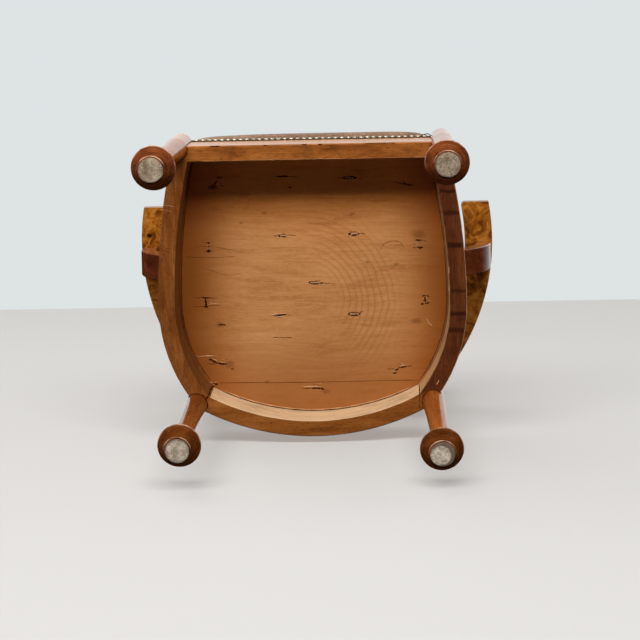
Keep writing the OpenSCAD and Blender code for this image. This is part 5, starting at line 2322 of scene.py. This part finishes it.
@dataclass
class FeltPads:
    """Worn felt pads under the feet.

    Attributes:
        wide: diameter.
        profile: share of the radius and height of the pad's profile, from the middle below to the top.
        clean: for each pad the X and Y of the middle of its clean part and that part's share of the radius.
        fibres: how many loose fibres stand out of a pad.
    """

    wide: float = 40.0
    profile: tuple[Pair, ...] = (
        (0.04, 0.0), (0.3, 0.0), (0.55, 0.0), (0.75, 0.0), (0.88, 0.02), (0.95, 0.1), (0.985, 0.35),
        (1.0, 0.9), (0.99, 2.6), (0.97, 3.4), (0.5, 3.45),
    )
    clean: tuple[tuple[float, float, float], ...] = (
        (0.5, -0.5, 1.0), (0.0, 0.0, 1.02), (-3.0, 1.5, 0.84), (1.0, 0.5, 0.95),
    )
    fibres: int = 46

    def build(self, front: Material, rear: Material) -> None:
        """Builds one pad under each foot.

        Args:
            front: finish of the front pads.
            rear: finish of the rear pads.
        """
        places = ((end, side) for end in ("front", "rear") for side in ("left", "right"))
        for index, (end, side) in enumerate(places):
            self._pad(f"felt_{end}_{side}", index, front if end == "front" else rear)

    def _pad(self, node: str, index: int, felt: Material) -> None:
        """One pad: a low disc whose rim wavers by sums of sines, with loose fibres.

        The attribute rim holds each point's distance from the middle of the clean part, as a share of it.

        Args:
            node: the CAD node that it replaces.
            index: which pad it is.
            felt: its material.
        """
        low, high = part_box(node)
        middle = np.array([(low.x + high.x) / 2, (low.y + high.y) / 2, 0.0])
        rng = np.random.default_rng(40 + index)
        turn = circle(96)
        phase = rng.uniform(0, 6.28, 6)
        ragged = sum(0.010 / (i + 1) * np.sin((3 + 4 * i) * turn + phase[i]) for i in range(6))
        ragged -= 0.02 * np.clip(np.sin(turn * 2 + phase[0]), 0, 1) ** 6
        radius = self.wide / 2
        share, height = np.array(self.profile).T[..., None]
        reach = share * radius * (1 + ragged * (share > 0.6))
        x, y = reach * np.cos(turn), reach * np.sin(turn)
        shell = Shell(middle)
        shell.add(np.stack([x, y, np.broadcast_to(height, x.shape)], -1))
        self._loose_fibres(shell, rng, radius)
        pad = shell.build(f"{node}_pad", felt)
        off_x, off_y, part = self.clean[index]
        away = (coordinates(pad.data) - middle)[:, :2] / MM - np.array([off_x, off_y])
        note(pad.data, "rim", np.linalg.norm(away, axis=1) / (radius * part))
        finish_piece(pad, "felt", node)

    def _loose_fibres(self, shell: Shell, rng: np.random.Generator, radius: float) -> None:
        """Adds short curled fibres that stand out of the rim.

        Args:
            shell: the pad's surfaces.
            rng: source of the random draws.
            radius: radius of the pad.
        """
        for _ in range(self.fibres):
            start = rng.uniform(0, 2 * np.pi)
            t = np.linspace(0, 1, 5)
            reach = radius * 0.97 + t * rng.uniform(0.6, 2.0)
            angle = start + t * rng.uniform(-0.12, 0.12)
            z = 0.5 + rng.uniform(0, 2.2) + 0.5 * np.sin(3 * t)
            shell.add(tube(np.stack([reach * np.cos(angle), reach * np.sin(angle), z], -1), 0.11, 3))


def corners() -> list[list[float]]:
    """The lowest and highest corners of all that is shown."""
    return [[float(v) for v in corner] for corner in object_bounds()]


def main() -> None:
    """Loads the frame, then builds the camera, the studio and the chair's sub-assemblies in order."""
    logging.basicConfig(level=logging.INFO, format="%(name)s %(message)s")
    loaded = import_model()
    frame = SeatFrame(float(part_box("front_rail")[0].y))
    bpy.context.scene.view_settings.view_transform = "Standard"
    PhotoCamera().build()
    Studio(back_y=float(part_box("crest_cap")[1].y) + 0.0005).build()
    ChairWood(loaded, frame.face_y).build()
    leather = WornLeather(srgb(118, 87, 63), srgb(142, 109, 83), srgb(70, 48, 33)).make("leather_brown")
    # The turned edge's dark colour is partly the leather's own and partly painted shade round the nails.
    dark = PlainStuff(srgb(84, 66, 48), srgb(48, 36, 24), 500, 0.0002).make("leather_edge_and_nail_shade")
    brass = AgedBrass((0.42, 0.37, 0.28), (0.13, 0.11, 0.085)).make("brass_aged")
    cushion = SeatCushion(frame)
    seat = finish_piece(cushion.build(leather), "leather", "seat_cover", "seat_core")
    SeatTrim(cushion).build(leather, dark, brass)
    # The hole material is painted shade for holes, gaps and chips.
    torn = TornWood(
        hole=PlainStuff(srgb(84, 40, 14), srgb(40, 17, 5), 900, 0.0002).make("torn_hole_shade"),
        crack=PlainStuff(srgb(118, 66, 28), srgb(72, 34, 12), 700, 0.0001).make("dirt_crack"),
        splinter=PlainStuff(srgb(228, 184, 138), srgb(190, 138, 90), 1200, 0.0002).make("wood_splinter"),
        twine=PlainStuff(srgb(214, 178, 138), srgb(140, 98, 62), 1500, 0.0004).make("twine_jute"),
    )
    ButtonTies(frame).build(torn)
    JointLines(frame).build(torn)
    felt = WoolFelt(srgb(184, 166, 142), srgb(112, 90, 66)).make("felt_front")
    pale_felt = WoolFelt(srgb(232, 218, 198), srgb(156, 134, 108)).make("felt_rear")
    FeltPads().build(felt, pale_felt)


if __name__ == "__main__":
    main()
